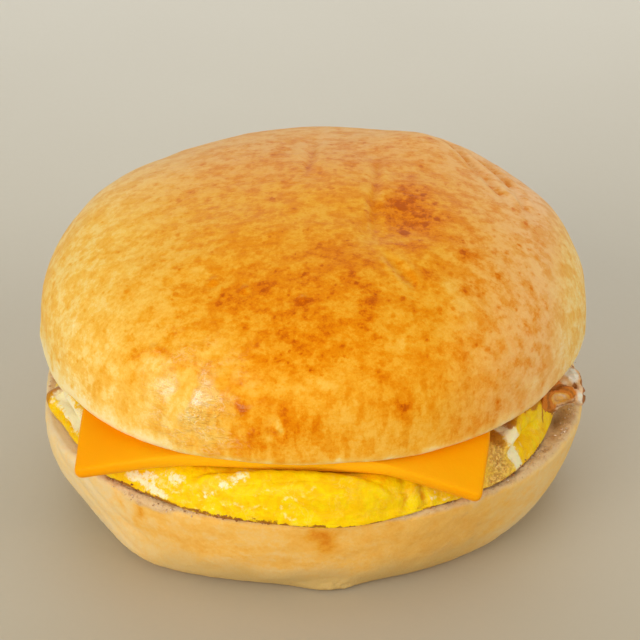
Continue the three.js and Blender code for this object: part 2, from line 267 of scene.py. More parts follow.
class Look:
    """A node material with one Principled shader. Sizes of its textures are in millimetres."""

    def __init__(self, name, **settings):
        self.material = bpy.data.materials.new(name)
        self.material.use_nodes = True
        self.tree = self.material.node_tree
        self.shader = self.tree.nodes["Principled BSDF"]
        self.place = self.tree.nodes.new("ShaderNodeTexCoord").outputs["Object"]
        for key, value in settings.items():
            self.feed(self.shader.inputs[key.replace("_", " ")], value)

    def feed(self, socket, value):
        if isinstance(value, bpy.types.NodeSocket):
            self.tree.links.new(value, socket)
        elif socket.type == "RGBA":
            socket.default_value = (*value, 1)
        else:
            socket.default_value = value

    def node(self, kind, inputs, output=0, **settings):
        node = self.tree.nodes.new("ShaderNode" + kind)
        for key, value in settings.items():
            setattr(node, key, value)
        for key, value in inputs.items():
            self.feed(node.inputs[key], value)
        return node.outputs[output]

    def mask(self, name, strength=1):
        values = self.node("Attribute", {}, "Fac", attribute_name=name)
        return values if strength == 1 else self.times(values, strength)

    def noise(self, size, stretch=(1, 1, 1), detail=4, roughness=0.55, distortion=0, turn=0):
        place = self.place
        if stretch != (1, 1, 1) or turn:
            scale = tuple(1 / s for s in stretch)
            turned = self.node("Mapping", {"Vector": place, "Rotation": (0, 0, turn)})
            place = self.node("Mapping", {"Vector": turned, "Scale": scale})
        inputs = {"Vector": place, "Scale": 1 / (size * MM), "Detail": detail}
        return self.node("TexNoise", {**inputs, "Roughness": roughness, "Distortion": distortion})

    def lines(self, value, width):
        """Thin lines where a noise passes through its middle value."""
        middle = self.node("Math", {0: value, 1: 0.5}, operation="SUBTRACT")
        return self.between(self.node("Math", {0: middle}, operation="ABSOLUTE"), width, 0)

    def dots(self, size, share):
        """Uneven round spots about this far apart, in this share of the places where one could be."""
        bent = self.node("TexNoise", {"Vector": self.place, "Scale": 1 / (size * MM), "Detail": 2}, 1)
        shift = self.node("VectorMath", {0: bent, "Scale": 0.7 * size * MM}, operation="SCALE")
        place = self.node("VectorMath", {0: self.place, 1: shift}, operation="ADD")
        cells = {"Vector": place, "Scale": 1 / (size * MM)}
        near = self.between(self.node("TexVoronoi", cells, "Distance"), 0.42, 0.12)
        chance = self.node("SeparateColor", {0: self.node("TexVoronoi", cells, "Color")})
        return self.times(near, self.between(chance, 1 - share, 1))

    def between(self, value, low, high, to=(0, 1)):
        ends = {"From Min": low, "From Max": high, "To Min": to[0], "To Max": to[1]}
        return self.node("MapRange", {"Value": value, **ends}, interpolation_type="SMOOTHSTEP")

    def sum(self, *values):
        total = values[0]
        for value in values[1:]:
            total = self.node("Math", {0: total, 1: value}, operation="ADD")
        return total

    def times(self, *values):
        total = values[0]
        for value in values[1:]:
            total = self.node("Math", {0: total, 1: value}, operation="MULTIPLY")
        return total

    def mix(self, factor, a, b):
        return self.node("Mix", {0: factor, 6: a, 7: b}, 2, data_type="RGBA")

    def paint(self, colour, tint, *weights):
        """The colour with a tint over it, as strong as the product of the weights."""
        return self.mix(self.times(*weights), colour, tint)

    def ragged(self, weight, texture, share, low, high):
        """A weight with torn edges, cut off between two values after part of a texture is added."""
        return self.between(self.sum(weight, self.times(texture, share)), low, high)

    def ramp(self, value, stops):
        """A colour for each value, from stops of (value, red, green, blue)."""
        node = self.tree.nodes.new("ShaderNodeValToRGB")
        self.feed(node.inputs[0], value)
        line = node.color_ramp.elements
        while len(line) < len(stops):
            line.new(0.5)
        for element, (at, *colour) in zip(line, stops):
            element.position = at
            element.color = (*colour, 1)
        return node.outputs[0]

    def finish(self, colour, roughness, height, depth):
        """Sets colour, roughness and a bump, whose height of 0 to 1 stands for this many millimetres."""
        self.feed(self.shader.inputs["Base Color"], colour)
        self.feed(self.shader.inputs["Roughness"], roughness)
        bump = self.node("Bump", {"Height": height, "Distance": depth * MM, "Strength": 1.0})
        self.feed(self.shader.inputs["Normal"], bump)
        return self.material


def crumb_colour(look):
    """Pale open crumb with toasted tips and dark pores."""
    toasted = look.between(look.noise(1.5, detail=5, roughness=0.7), 0.48, 0.7)
    pores = look.between(look.noise(0.8, detail=3), 0.42, 0.3)
    pale = look.mix(look.noise(4, detail=3), (0.84, 0.6, 0.32), (0.68, 0.43, 0.19))
    pale = look.paint(pale, (0.5, 0.24, 0.08), toasted, 0.55)
    return look.paint(pale, (0.4, 0.19, 0.07), pores, 0.5)


def sheen(level, tint):
    """Settings of the plain gloss of a surface."""
    return {"Specular_IOR_Level": level, "Specular_Tint": tint}


def glow(weight, radius, reach):
    """Settings of the light that spreads under a surface."""
    return {"Subsurface_Weight": weight, "Subsurface_Radius": radius, "Subsurface_Scale": reach * MM}


BREAD_GLOW = glow(0.08, (1, 0.5, 0.2), 1)
# From pale dough to the darkest browning: how brown, from 0 to 1, and the colour
CROWN_TONES = [
    (0, 0.97, 0.78, 0.38),
    (0.13, 0.96, 0.67, 0.2),
    (0.28, 0.93, 0.53, 0.08),
    (0.5, 0.87, 0.38, 0.02),
    (0.66, 0.81, 0.27, 0.003),
    (0.8, 0.74, 0.195, 0.001),
    (0.92, 0.62, 0.13, 0.001),
    (1, 0.52, 0.095, 0.001),
]
HEEL_TONES = [
    (0, 0.8, 0.63, 0.36),
    (0.25, 0.87, 0.6, 0.24),
    (0.5, 0.9, 0.5, 0.1),
    (0.75, 0.84, 0.37, 0.03),
    (1, 0.72, 0.22, 0.004),
]


def crown_mottling(look):
    """The broad blotches of browning, which run downwards at the front, and all the mottling together."""
    drips = look.mask("drips")
    level = look.noise(3.4, (1.3, 1, 1), 4, 0.62)
    upright = look.noise(2.6, (1, 1, 2.4), 4, 0.62)
    blend = look.node("Mix", {0: drips, 2: level, 3: upright}, data_type="FLOAT")
    blotches = look.between(blend, 0.41, 0.62)
    freckles = look.between(look.noise(1.3, (1.15, 1, 1), 4, 0.7), 0.42, 0.62)
    speckles = look.noise(0.4, detail=3, roughness=0.75)
    spots = look.sum(look.times(look.dots(2.4, 0.45), 0.5), look.times(look.dots(1.3, 0.4), 0.4))
    spots = look.times(spots, look.between(drips, 1, 0, (0.1, 1)))
    parts = look.times(blotches, 0.45), look.times(freckles, 0.3), look.times(speckles, 0.7), spots
    return blotches, look.sum(*parts, -0.79)


def crown_look():
    look = Look("crown_crust", Coat_Roughness=0.26, **sheen(0.2, (1, 0.5, 0.06)), **BREAD_GLOW)
    blotches, mottled = crown_mottling(look)
    tone = look.sum(look.mask("tone"), look.times(mottled, look.mask("mottled")))
    colour = look.ramp(tone, CROWN_TONES)
    # Painted sheen: a paler tan over the crust at the right and towards the back, for the reflection of the
    # light behind
    tan = look.mix(blotches, (0.9, 0.54, 0.27), (0.81, 0.41, 0.15))
    colour = look.paint(colour, tan, look.mask("tan"), look.between(tone, 0.85, 0.4))
    crumb = look.mask("crumb")
    colour = look.paint(colour, crumb_colour(look), crumb)
    gloss = look.mask("gloss")
    # Painted glints: thin cream squiggles in the glossy place, over its real coat gloss
    painted_glints = look.lines(look.noise(1.7, (1.5, 1, 1), 4, 0.65, 0.8), 0.07)
    painted_glints = look.times(painted_glints, look.between(look.noise(2.5, detail=3), 0.4, 0.6))
    colour = look.paint(colour, (1, 0.75, 0.4), gloss, painted_glints, 0.85)
    look.feed(look.shader.inputs["Coat Weight"], look.times(gloss, 0.9))
    skin = look.noise(0.9, (1.6, 1, 1), 6, 0.6)
    wrinkles = look.lines(look.noise(2.4, (1.8, 0.6, 0.6), 3, 0.6, 0.6, turn=0.5), 0.12)
    rough = look.sum(look.between(skin, 0.3, 0.7, (0.38, 0.54)), look.times(crumb, 0.35))
    grain = look.sum(
        skin,
        look.times(look.noise(0.35, detail=3), 0.4),
        look.times(crumb, look.noise(0.9), 2),
        look.times(gloss, wrinkles, 2),
        look.times(gloss, look.noise(1.4, (1.7, 0.9, 0.9), 3, 0.6), 8),
    )
    return look.finish(colour, rough, grain, 0.1)


def heel_look():
    look = Look("heel_crust", **sheen(0.25, (1, 0.8, 0.5)), **BREAD_GLOW)
    blotches = look.between(look.noise(4, (1.2, 1.2, 1), 4, 0.62), 0.4, 0.62)
    freckles = look.between(look.noise(1.3, detail=4, roughness=0.7), 0.4, 0.62)
    speckles = look.noise(0.5, detail=3, roughness=0.7)
    parts = look.times(blotches, 0.5), look.times(freckles, 0.3), look.times(speckles, 0.5)
    tone = look.sum(look.mask("tone"), look.times(look.sum(*parts, -0.65), look.mask("mottled")))
    colour = look.ramp(tone, HEEL_TONES)
    crumb = look.mask("crumb")
    colour = look.paint(colour, crumb_colour(look), crumb)
    # Painted shade low on the heel near the floor at the front, and on its right front
    colour = look.paint(colour, (0.56, 0.38, 0.13), look.mask("low"), 0.8)
    # Painted shadow in the hollow of the crumb under the egg's frill
    colour = look.paint(colour, (0.3, 0.14, 0.02), look.mask("painted_pocket_shadow"))
    skin = look.noise(0.8, detail=6, roughness=0.6)
    rough = look.sum(look.between(skin, 0.3, 0.7, (0.48, 0.64)), look.times(crumb, 0.3))
    fine = look.times(look.noise(0.3, detail=3), 0.4)
    return look.finish(colour, rough, look.sum(skin, fine, look.times(crumb, look.noise(0.8), 2)), 0.1)


def egg_yellow(look, fine, broken):
    """The yellow of the egg, with pale curls, amber places and pale ones."""
    swirl = look.noise(4, detail=5, roughness=0.6, distortion=1.2)
    colour = look.mix(look.between(swirl, 0.35, 0.65), (0.98, 0.67, 0.001), (0.96, 0.54, 0.001))
    curls = look.lines(look.noise(3.2, detail=4, roughness=0.65, distortion=1), 0.035)
    curls = look.times(curls, look.between(look.noise(7, detail=2), 0.42, 0.6), 0.25)
    colour = look.paint(colour, (0.96, 0.78, 0.2), curls)
    # Amber: the egg's own deeper yellow, and painted shade where the egg is tucked under the slice
    amber = look.ragged(look.mask("amber", 0.5), fine, 0.6, 0.5, 0.8)
    colour = look.paint(colour, (0.9, 0.33, 0.004), amber, 0.85)
    # Pale marks, partly painted highlights on the glossy egg
    pale = look.ragged(look.mask("pale", 0.7), broken, 0.6, 0.62, 1.15)
    return look.paint(colour, (0.97, 0.82, 0.3), pale, 0.75)


def egg_look():
    under = glow(0.2, (1, 0.6, 0.1), 1.2)
    look = Look("fried_egg", Coat_Weight=0.1, Coat_Roughness=0.15, **sheen(0.2, (1, 0.75, 0.2)), **under)
    fine = look.noise(1.3, detail=6, roughness=0.7, distortion=0.8)
    broken = look.between(look.noise(1, detail=5, roughness=0.7), 0.36, 0.64)
    colour = egg_yellow(look, fine, broken)
    porous = look.mask("porous")
    pitted = look.noise(0.6, detail=3, roughness=0.6)
    holes = look.between(pitted, 0.46, 0.62)
    colour = look.paint(colour, (0.98, 0.58, 0.14), porous, 0.9)
    colour = look.paint(colour, (0.93, 0.7, 0.3), porous, look.between(pitted, 0.42, 0.3), 0.7)
    colour = look.paint(colour, (0.56, 0.23, 0.03), porous, holes, 0.65)
    # White: egg white, and on the front partly painted highlights
    white = look.ragged(look.mask("white", 0.95), broken, 0.6, 0.74, 1.28)
    colour = look.paint(colour, (0.97, 0.88, 0.56), white, 0.9)
    fried = look.ragged(look.mask("fried", 0.7), fine, 0.8, 0.64, 1.02)
    colour = look.paint(colour, (0.5, 0.17, 0.01), fried, 0.9)
    dark = look.ragged(look.mask("dark", 0.7), look.noise(0.8, detail=5, roughness=0.7), 1.6, 1.1, 1.4)
    colour = look.paint(colour, (0.3, 0.085, 0.012), dark, 0.9)
    rough = look.sum(look.between(fine, 0.3, 0.7, (0.26, 0.42)), look.mask("fried", 0.2))
    grain = look.sum(fine, look.times(look.noise(0.6, detail=4), 0.5), look.times(porous, holes, -1.2))
    return look.finish(colour, rough, grain, 0.18)


def frill_look():
    look = Look("crisp_egg", **sheen(0.3, (1, 0.8, 0.5)), **glow(0.15, (1, 0.6, 0.2), 1))
    fine = look.noise(0.9, detail=6, roughness=0.75)
    colour = look.mix(look.between(look.noise(2.4), 0.35, 0.65), (0.85, 0.58, 0.34), (0.76, 0.4, 0.13))
    for mask, tint, *torn in [
        ("golden", (0.84, 0.42, 0.06), 0.5, 0.6, 1),
        ("film", (0.66, 0.2, 0.015), 0.8, 0.7, 1.15),
        ("white", (0.86, 0.79, 0.62), 0.6, 0.7, 1.1),
    ]:
        colour = look.paint(colour, tint, look.ragged(look.mask(mask), fine, *torn))
    edge = look.ragged(look.mask("edge"), fine, 0.8, 0.75, 1.1)
    colour = look.paint(colour, (0.36, 0.11, 0.012), edge, 0.9)
    rough = look.between(fine, 0.3, 0.7, (0.3, 0.5))
    return look.finish(colour, rough, look.sum(fine, look.noise(0.4)), 0.16)


def cheese_look():
    look = Look("cheese", **sheen(0.12, (1, 0.7, 0.3)), **glow(0.3, (1, 0.45, 0.03), 1.5))
    broad = look.noise(20, detail=3)
    colour = look.mix(look.between(broad, 0.3, 0.7), (0.98, 0.39, 0.0), (0.96, 0.35, 0.0))
    # Painted shade: the rounded edge is a deeper orange against the brighter light that falls on it
    colour = look.paint(colour, (0.94, 0.33, 0.0), look.mask("edge"), 0.7)
    # Painted light: the front strip is brighter where the crown's rim shades it
    colour = look.paint(colour, (1, 0.54, 0.01), look.mask("front"), 0.9)
    fine = look.noise(0.7, detail=4)
    rough = look.between(fine, 0.3, 0.7, (0.42, 0.52))
    return look.finish(colour, rough, look.sum(fine, look.times(broad, 2)), 0.03)


def crumbs_look(name, light, dark, rough):
    look = Look(name)
    fine = look.noise(0.9, detail=4)
    colour = look.mix(look.between(fine, 0.4, 0.65), light, dark)
    return look.finish(colour, look.between(fine, 0.3, 0.7, (rough, rough + 0.15)), fine, 0.15)


def floor_look():
    look = Look("floor", Specular_IOR_Level=0.3)
    soft = look.noise(160, detail=3)
    # Painted light: the floor is darker at the front and lighter towards the back, as if lit from behind
    back = look.between(look.node("SeparateXYZ", {0: look.place}, "Y"), -0.25, 0.5)
    colour = look.mix(back, (0.45, 0.38, 0.25), (0.9, 0.85, 0.72))
    colour = look.paint(colour, (0.48, 0.41, 0.3), soft, 0.3)
    fine = look.noise(1.5, detail=3)
    return look.finish(colour, look.between(fine, 0.3, 0.7, (0.5, 0.6)), fine, 0.02)


# The slice of cheese


def past_bend(bend, x, y):
    """How far a place lies past a bend, with a soft start."""
    bearing, start, _, width = bend
    past = x * np.cos(np.radians(bearing)) + y * np.sin(np.radians(bearing)) - start
    return (past + np.hypot(past, width)) / 2


def slice_fall(x, y):
    """How far the slice has dropped at a place."""
    return sum(bend[2] * past_bend(bend, x, y) for bend in SLICE_BENDS)


def slice_height(x, y):
    return SLICE_BOTTOM - slice_fall(x, y)


def beyond_slice(x, y):
    """How far a place in plan lies outside the slice, or negative inside it."""
    cos, sin = math.cos(SLICE_TURN), math.sin(SLICE_TURN)
    u = (x - SLICE_CENTRE[0]) * cos + (y - SLICE_CENTRE[1]) * sin
    v = (y - SLICE_CENTRE[1]) * cos - (x - SLICE_CENTRE[0]) * sin
    return np.maximum(np.abs(u), np.abs(v)) - SLICE_SIDE / 2


def rounded_square(half, corner, count):
    """Points round a square with rounded corners, evenly spaced."""
    inner = half - corner
    dense = []
    for quarter, (right, back) in enumerate([(1, 1), (-1, 1), (-1, -1), (1, -1)]):
        turns = np.linspace(0, TURN / 4, 12) + quarter * TURN / 4
        dense += list(zip(inner * right + corner * np.cos(turns), inner * back + corner * np.sin(turns)))
    dense = np.array(dense + dense[:1])
    length = np.concatenate([[0], np.cumsum(np.hypot(*np.diff(dense, axis=0).T))])
    at = np.linspace(0, length[-1], count, endpoint=False)
    return np.stack([np.interp(at, length, dense[:, k]) for k in (0, 1)], -1)


def slice_point(u, v, side):
    """A point of the slice: u and v over the square, and side from 0 on its underside to 1 on its top."""
    cos, sin = math.cos(SLICE_TURN), math.sin(SLICE_TURN)
    x = SLICE_CENTRE[0] + u * cos - v * sin
    y = SLICE_CENTRE[1] + u * sin + v * cos
    z = slice_height(x, y)
    tiny = 0.05
    slope_x = (z - slice_height(x + tiny, y)) / tiny
    slope_y = (z - slice_height(x, y + tiny)) / tiny
    normal = np.stack([slope_x, slope_y, np.ones_like(z)], -1)
    normal /= np.linalg.norm(normal, axis=-1, keepdims=True)
    drawn = [x, y]
    for bend in SLICE_BENDS:
        short = past_bend(bend, x, y) * (math.hypot(1, bend[2]) - 1)
        drawn[0] = drawn[0] - short * math.cos(math.radians(bend[0]))
        drawn[1] = drawn[1] - short * math.sin(math.radians(bend[0]))
    return np.stack([*drawn, z], -1) + side[..., None] * SLICE_THICKNESS * normal


def cheese_rings():
    """The share of the square, and the side, for each ring from the underside to the top."""
    half = SLICE_SIDE / 2
    inner = np.linspace(0.04, 1, 56)
    rings = [(share * (1 - SLICE_EDGE / half), 0) for share in inner]
    for turn in np.linspace(-90, 90, 15)[1:-1]:
        turn = math.radians(turn)
        inset = SLICE_EDGE * (1 - math.cos(turn))
        side = (SLICE_EDGE * (1 + math.sin(turn))) / SLICE_THICKNESS
        side += (1 - 2 * SLICE_EDGE / SLICE_THICKNESS) * (math.sin(turn) + 1) / 2
        rings.append((1 - inset / half, side))
    rings += [(share * (1 - SLICE_EDGE / half), 1) for share in inner[::-1]]
    return ring_values(rings)


def make_cheese():
    half = SLICE_SIDE / 2
    outline = rounded_square(half, SLICE_CORNER, 560)
    share, side = cheese_rings()
    across, deep = share * outline[:, 0], share * outline[:, 1]
    grid = slice_point(across, deep, side + 0 * across)
    grid[..., 1] -= SLICE_BOW * bell(across, 24) * smooth(0.7 * half, half, -deep)
    relief = 0.06 * noise(grid, 14, 2, 1) + 0.015 * noise(grid, 2.5, 2, 2)
    grid = raised(grid, relief)
    masks = {
        # The rounded edge, which gets painted shade
        "edge": smooth(0.02, 0.2, side) * (1 - smooth(0.8, 0.98, side)) + 0 * across,
        # The front strip under the crown's rim, which gets painted light
        "front": bell(across, 26) * smooth(0.8 * half, half, -deep),
    }
    add_turned("cheese_slice", grid, cheese_look(), "cheese", masks)


# The top half of the roll

# Swells and hollows of the crust, each as x, y, half width and height
CROWN_MOUNDS = [(25, 25, 12, 2.1), (18, -14, 7, -1.4), (-46, 10, 15, 2), (50, 8, 12, 1.2)]
# Creases of the crust, each as its two ends, half width and depth
CREASES = [
    ((13.5, 12), (12.6, -20), 3, 0.45),
    ((14.5, -24), (21, -33), 3, 0.25),
    ((0.5, 23), (-1, 2), 3, 0.3),
    ((29, 27), (36, 12), 3, 0.7),
    ((36, 12), (40, 3), 3, 0.5),
    ((35, 23), (43, 9), 3, 0.7),
    ((43, 9), (45.5, 1), 3, 0.4),
]
# Small blisters, each as bearing and rise on the dome in degrees
BLISTERS = [(235, 47), (246, 47), (264, 46), (233, 23), (250, 21), (263, 6)]
# Finely wrinkled places near the top, each as x, y, z, reach along X, reach across and strength
CROWN_WRINKLED = [(16, -16, 66, 8, 10, 0.8), (40, 4, 62, 8, 14, 0.15), (-2, 14, 68, 8, 14, 0.6)]
# Darker and paler places, from left to right: bearing and rise on the dome in degrees, half width, half
# height and strength
CROWN_MARKS = [
    # Darker
    (221, 4, 1.2, 1.8, 0.2), (221, 9, 3.2, 0.9, 0.18), (223, 26, 2.2, 2.2, 0.1), (224, 46, 2.6, 1.6, 0.16),
    (229, 19, 2.6, 2.4, 0.2), (230, 11, 1.6, 1.6, 0.28), (233, 23, 3, 1.2, 0.3), (233, 40, 5, 5, 0.08),
    (235, 29, 1.8, 1.6, 0.2), (235, 47, 1.8, 1, 0.22), (239, 1, 2.4, 1, 0.15), (246, 43, 4, 3, 0.14),
    (252, 49, 3, 1.5, 0.12), (256, 11, 2, 1.5, 0.14), (256, 11, 1, 3.4, 0.2), (258, 1, 3.2, 1.2, 0.2),
    (259, 45, 13, 9, 0.15), (260, 9, 1, 4, 0.2), (260, 35, 2, 1.7, 0.2), (261, 27, 1.7, 1, 0.3),
    (262, 4, 7, 2.8, 0.26), (264, 10, 1.1, 4.6, 0.2), (264, 30, 2.6, 1.6, 0.14), (264, 45, 2, 1, 0.17),
    (264, 50, 1.7, 1, 0.2), (265, 28, 12, 6, 0.05), (268, 60, 14, 8, 0.12), (268.5, 9, 1, 4, 0.14),
    (269, 24, 2.8, 0.9, 0.42), (270, 7, 5, 2.4, 0.1), (273, 35, 9, 6, 0.08), (275, 2, 2.2, 2, 0.12),
    (281, 34, 3, 2, 0.1), (282, 39, 1, 1, 0.2), (284, 41, 2.6, 3, 0.2), (284, 43, 1.4, 1, 0.24),
    (285, 21, 2.4, 1.2, 0.16), (286, 25, 3, 1.4, 0.12), (289, 10, 2, 3, 0.3), (295, 41, 2.6, 2, 0.12),
    (296, 30, 2, 2, 0.14), (297, 25, 2, 1.2, 0.12), (305, 21, 1, 0.8, 0.32), (306, 42, 1.4, 2, 0.12),
    (312, 2, 1.2, 1.5, 0.15), (315, 40, 1.7, 1.7, 0.2), (323, 48, 1.5, 3, 0.22), (324, 19, 1, 0.8, 0.28),
    (325, 6, 2.4, 1.5, 0.14), (331, 17, 1.2, 1.3, 0.16),
    # Paler. The one at bearing 243 and rise 11 is painted sheen; those at 261.5 and 263.5 are painted glints
    (206, 25, 1.5, 1.3, -0.12), (208, 17, 0.8, 3.2, -0.12), (212, 3, 5, 2.6, -0.14), (222, 12, 6, 5, -0.04),
    (226, 6, 1.8, 1.8, -0.12), (229, 48, 2, 1, -0.12), (234, 18, 2.6, 1.4, -0.1), (243, 2, 8, 1.6, -0.08),
    (243, 11, 10, 6, -0.2), (247, 27, 5.6, 1.6, -0.14), (260, 57, 2.8, 1.1, -0.14),
    (261.5, 3, 0.9, 1, -0.45), (263.5, 6.5, 0.7, 2, -0.6), (267, 19, 10, 1.3, -0.15), (276, 8, 3, 5, -0.08),
    (291, 30, 2, 1.4, -0.12), (295, 59, 1.5, 4.4, -0.12), (308, 42, 2.2, 3.4, -0.18),
    (311, 33, 3, 2.8, -0.08), (323, 2, 4.4, 2, -0.2), (325, 4, 7, 4, -0.1), (334, 9, 5, 8, -0.16),
    (340, 29, 3, 8, -0.1),
]
# The same near the dome's top, each as x, y, half width, half depth and strength
TOP_MARKS = [
    (-24.6, 0.4, 1.4, 1, 0.12), (-21.2, -15.8, 2, 1, 0.14), (-19.8, -7.3, 1.2, 0.8, 0.14),
    (-15.4, -12.9, 1.6, 1, 0.14), (-13.9, -25.5, 1.2, 1, 0.14), (-12.3, -2.9, 2, 1.2, 0.12),
    (-11, -18.2, 1.6, 1, 0.14), (-7.9, -7.2, 1.8, 1.2, 0.12), (-0.7, -15.5, 1.1, 0.8, 0.16),
    (5.7, -20.2, 0.9, 0.7, 0.16), (7, -13.9, 1, 1, 0.14), (7.7, -23.2, 1, 0.7, 0.16),
    (8, -32, 2, 1.2, 0.24), (9.3, -25.8, 1, 0.8, 0.18), (9.9, -9.7, 0.9, 1.2, 0.1),
    (10, -33.8, 2.2, 1.2, 0.22), (10.9, -27.7, 1.2, 0.8, 0.18), (11.8, -35.4, 1.5, 0.8, 0.22),
    (12, -24, 6, 2.2, 0.05), (14.4, -30.8, 1.2, 1, 0.12), (14.5, -19.5, 1.2, 1.2, 0.12),
    (15.7, -12.5, 1, 1.9, 0.3), (16.5, -6.6, 1.2, 1.2, 0.26), (17.8, -21.2, 3, 1, 0.2),
    (18.9, -16.9, 1.3, 1.2, 0.3), (19.4, -13.3, 1, 1, 0.24), (19.5, -11, 6.5, 8, 0.36),
    (20.5, -25, 1.4, 0.8, 0.12), (21, -1, 4, 5, 0.1), (22.9, -10.5, 1, 0.8, 0.12),
    (23.6, -28.6, 2, 1.8, 0.22), (27.4, -10.3, 1, 1, 0.14), (28, -12, 6, 6, 0.07), (30, -17.4, 2, 1.2, 0.1),
]


def dome_point(bearing, rise):
    """The point of the dome at a bearing and a rise in degrees, 0 at the widest ring and 90 at the top."""
    bearing, rise = math.radians(bearing), math.radians(rise)
    radius = CROWN_RADIUS * math.cos(rise) ** CROWN_DOME[0] * (1 + ripple(bearing, CROWN_OUTLINE))
    height = CROWN_WIDEST + (CROWN_TOP - CROWN_WIDEST) * math.sin(rise) ** CROWN_DOME[1]
    lean = CROWN_LEAN * math.sin(rise) ** 2
    return round_points(radius, bearing, height) + np.array([lean, 0, 0])


def wandering(grid):
    """The points moved a little, so that what is placed by them has ragged outlines."""
    return grid + np.stack([noise(grid, 3.5, 3, seed) for seed in (51, 52, 53)], -1)


def top_marks(points, marks):
    """The sum of soft marks near the dome's top."""
    x, y, _ = np.moveaxis(points, -1, 0)
    return sum(strength * bell(x - cx, wide) * bell(y - cy, deep) for cx, cy, wide, deep, strength in marks)


def dome_marks(points, marks):
    """The sum of soft marks on the dome's side."""
    total = np.zeros(points.shape[:-1])
    for bearing, rise, wide, tall, strength in marks:
        away = points - dome_point(bearing, rise)
        turn = math.radians(bearing)
        level = away[..., 1] * math.cos(turn) - away[..., 0] * math.sin(turn)
        steep = (away**2).sum(-1) - level**2
        total += strength * np.exp(-((level / wide) ** 2) - steep / tall**2)
    return total


def crown_form(x, y):
    """The hollow, the swells and the broad creases of the crust, a little shallower than in the solid."""
    mounds = sum(height * bell(np.hypot(x - cx, y - cy), half) for cx, cy, half, height in CROWN_MOUNDS)
    folds = [depth * bell(segment_distance(x, y, *ends), width) for *ends, width, depth in CREASES]
    return mounds + 0.35 * lumps(x, y, 34, 0.6) - greatest(*folds)


def crease_lines(x, y):
    """The sharp bottom of each crease and the ridges beside it, fading out at their ends."""
    sharp = np.zeros(x.shape)
    ridge = np.zeros(x.shape)
    for start, end, _, depth in CREASES:
        away = segment_distance(x, y, start, end)
        middle = np.hypot(x - (start[0] + end[0]) / 2, y - (start[1] + end[1]) / 2)
        half = math.hypot(end[0] - start[0], end[1] - start[1]) / 2
        fade = (0.2 + 0.8 * depth) * (1 - smooth(0.55 * half, half, middle))
        sharp = np.maximum(sharp, fade * bell(away, 0.8))
        ridge = np.maximum(ridge, fade * bell(away - 2, 0.9))
    return sharp, ridge


def crown_rings():
    """Radius, height and rise on the dome for each ring, from the middle of the cut face to the top."""
    rings = [(CROWN_CUT_RADIUS * share, CROWN_CUT, 0) for share in np.linspace(0.12, 1, 17)[:-1] ** 0.55]
    for turn in np.linspace(0, TURN / 4, 13)[:-1]:
        radius = CROWN_CUT_RADIUS + (CROWN_RADIUS - CROWN_CUT_RADIUS) * math.sin(turn)
        rings.append((radius, CROWN_CUT + CROWN_BELLY * (1 - math.cos(turn)), 0))
    for turn in TURN / 4 * np.linspace(0, 1, 118)[:-1] ** 1.15:
        height = CROWN_WIDEST + (CROWN_TOP - CROWN_WIDEST) * math.sin(turn) ** CROWN_DOME[1]
        rings.append((CROWN_RADIUS * math.cos(turn) ** CROWN_DOME[0], height, math.sin(turn)))
    return ring_values(rings)


def crown_grid(radius, height, dome):
    bearing = around(640)
    r = radius * (1 + ripple(bearing, CROWN_OUTLINE))
    x = r * np.cos(bearing) + CROWN_LEAN * dome**2
    y = r * np.sin(bearing) * ROLL_DEPTH_SHARE
    low = 1 - smooth(CROWN_CUT, CROWN_WIDEST + CROWN_RIM_HEIGHT, height)
    droop = CROWN_DROOP * np.tanh(slice_fall(x, y) / CROWN_DROOP)
    centre, half, drop = CROWN_SAG
    sag = drop * round_bell(bearing, centre, half) * smooth(*CROWN_SAG_START, beyond_slice(x, y))
    z = height - (droop + sag) * low + crown_form(x, y) * smooth(0.2, 0.6, dome)
    return np.stack([x, y, z], -1)


def crown_relief(grid, crumb, top, sharp, ridge, glossy):
    wrinkled = blobs(grid, [glossy, *CROWN_WRINKLED])
    folds = noise(grid, (3.2, 1.1, 1.1), 3, 4)
    relief = (1 - crumb) * (
        0.16 * noise(grid, 9, 2, 5)
        + 0.035 * noise(grid, (2.6, 1, 1), 3, 6)
        + 0.11 * wrinkled * (1 - np.abs(folds) * 2)
        - top * (sharp - 0.45 * ridge)
    )
    relief += crumb * (0.35 * noise(grid, 1.6, 2, 7) - 0.3)
    for blister in BLISTERS:
        far = np.linalg.norm(grid - dome_point(*blister), axis=-1)
        relief += 0.45 * bell(far, 0.75) - 0.12 * bell(far - 1.5, 0.6)
    swelling = (*dome_point(188, 0), 3.5, 2, 1)
    return relief + 0.5 * blobs(grid, [swelling])


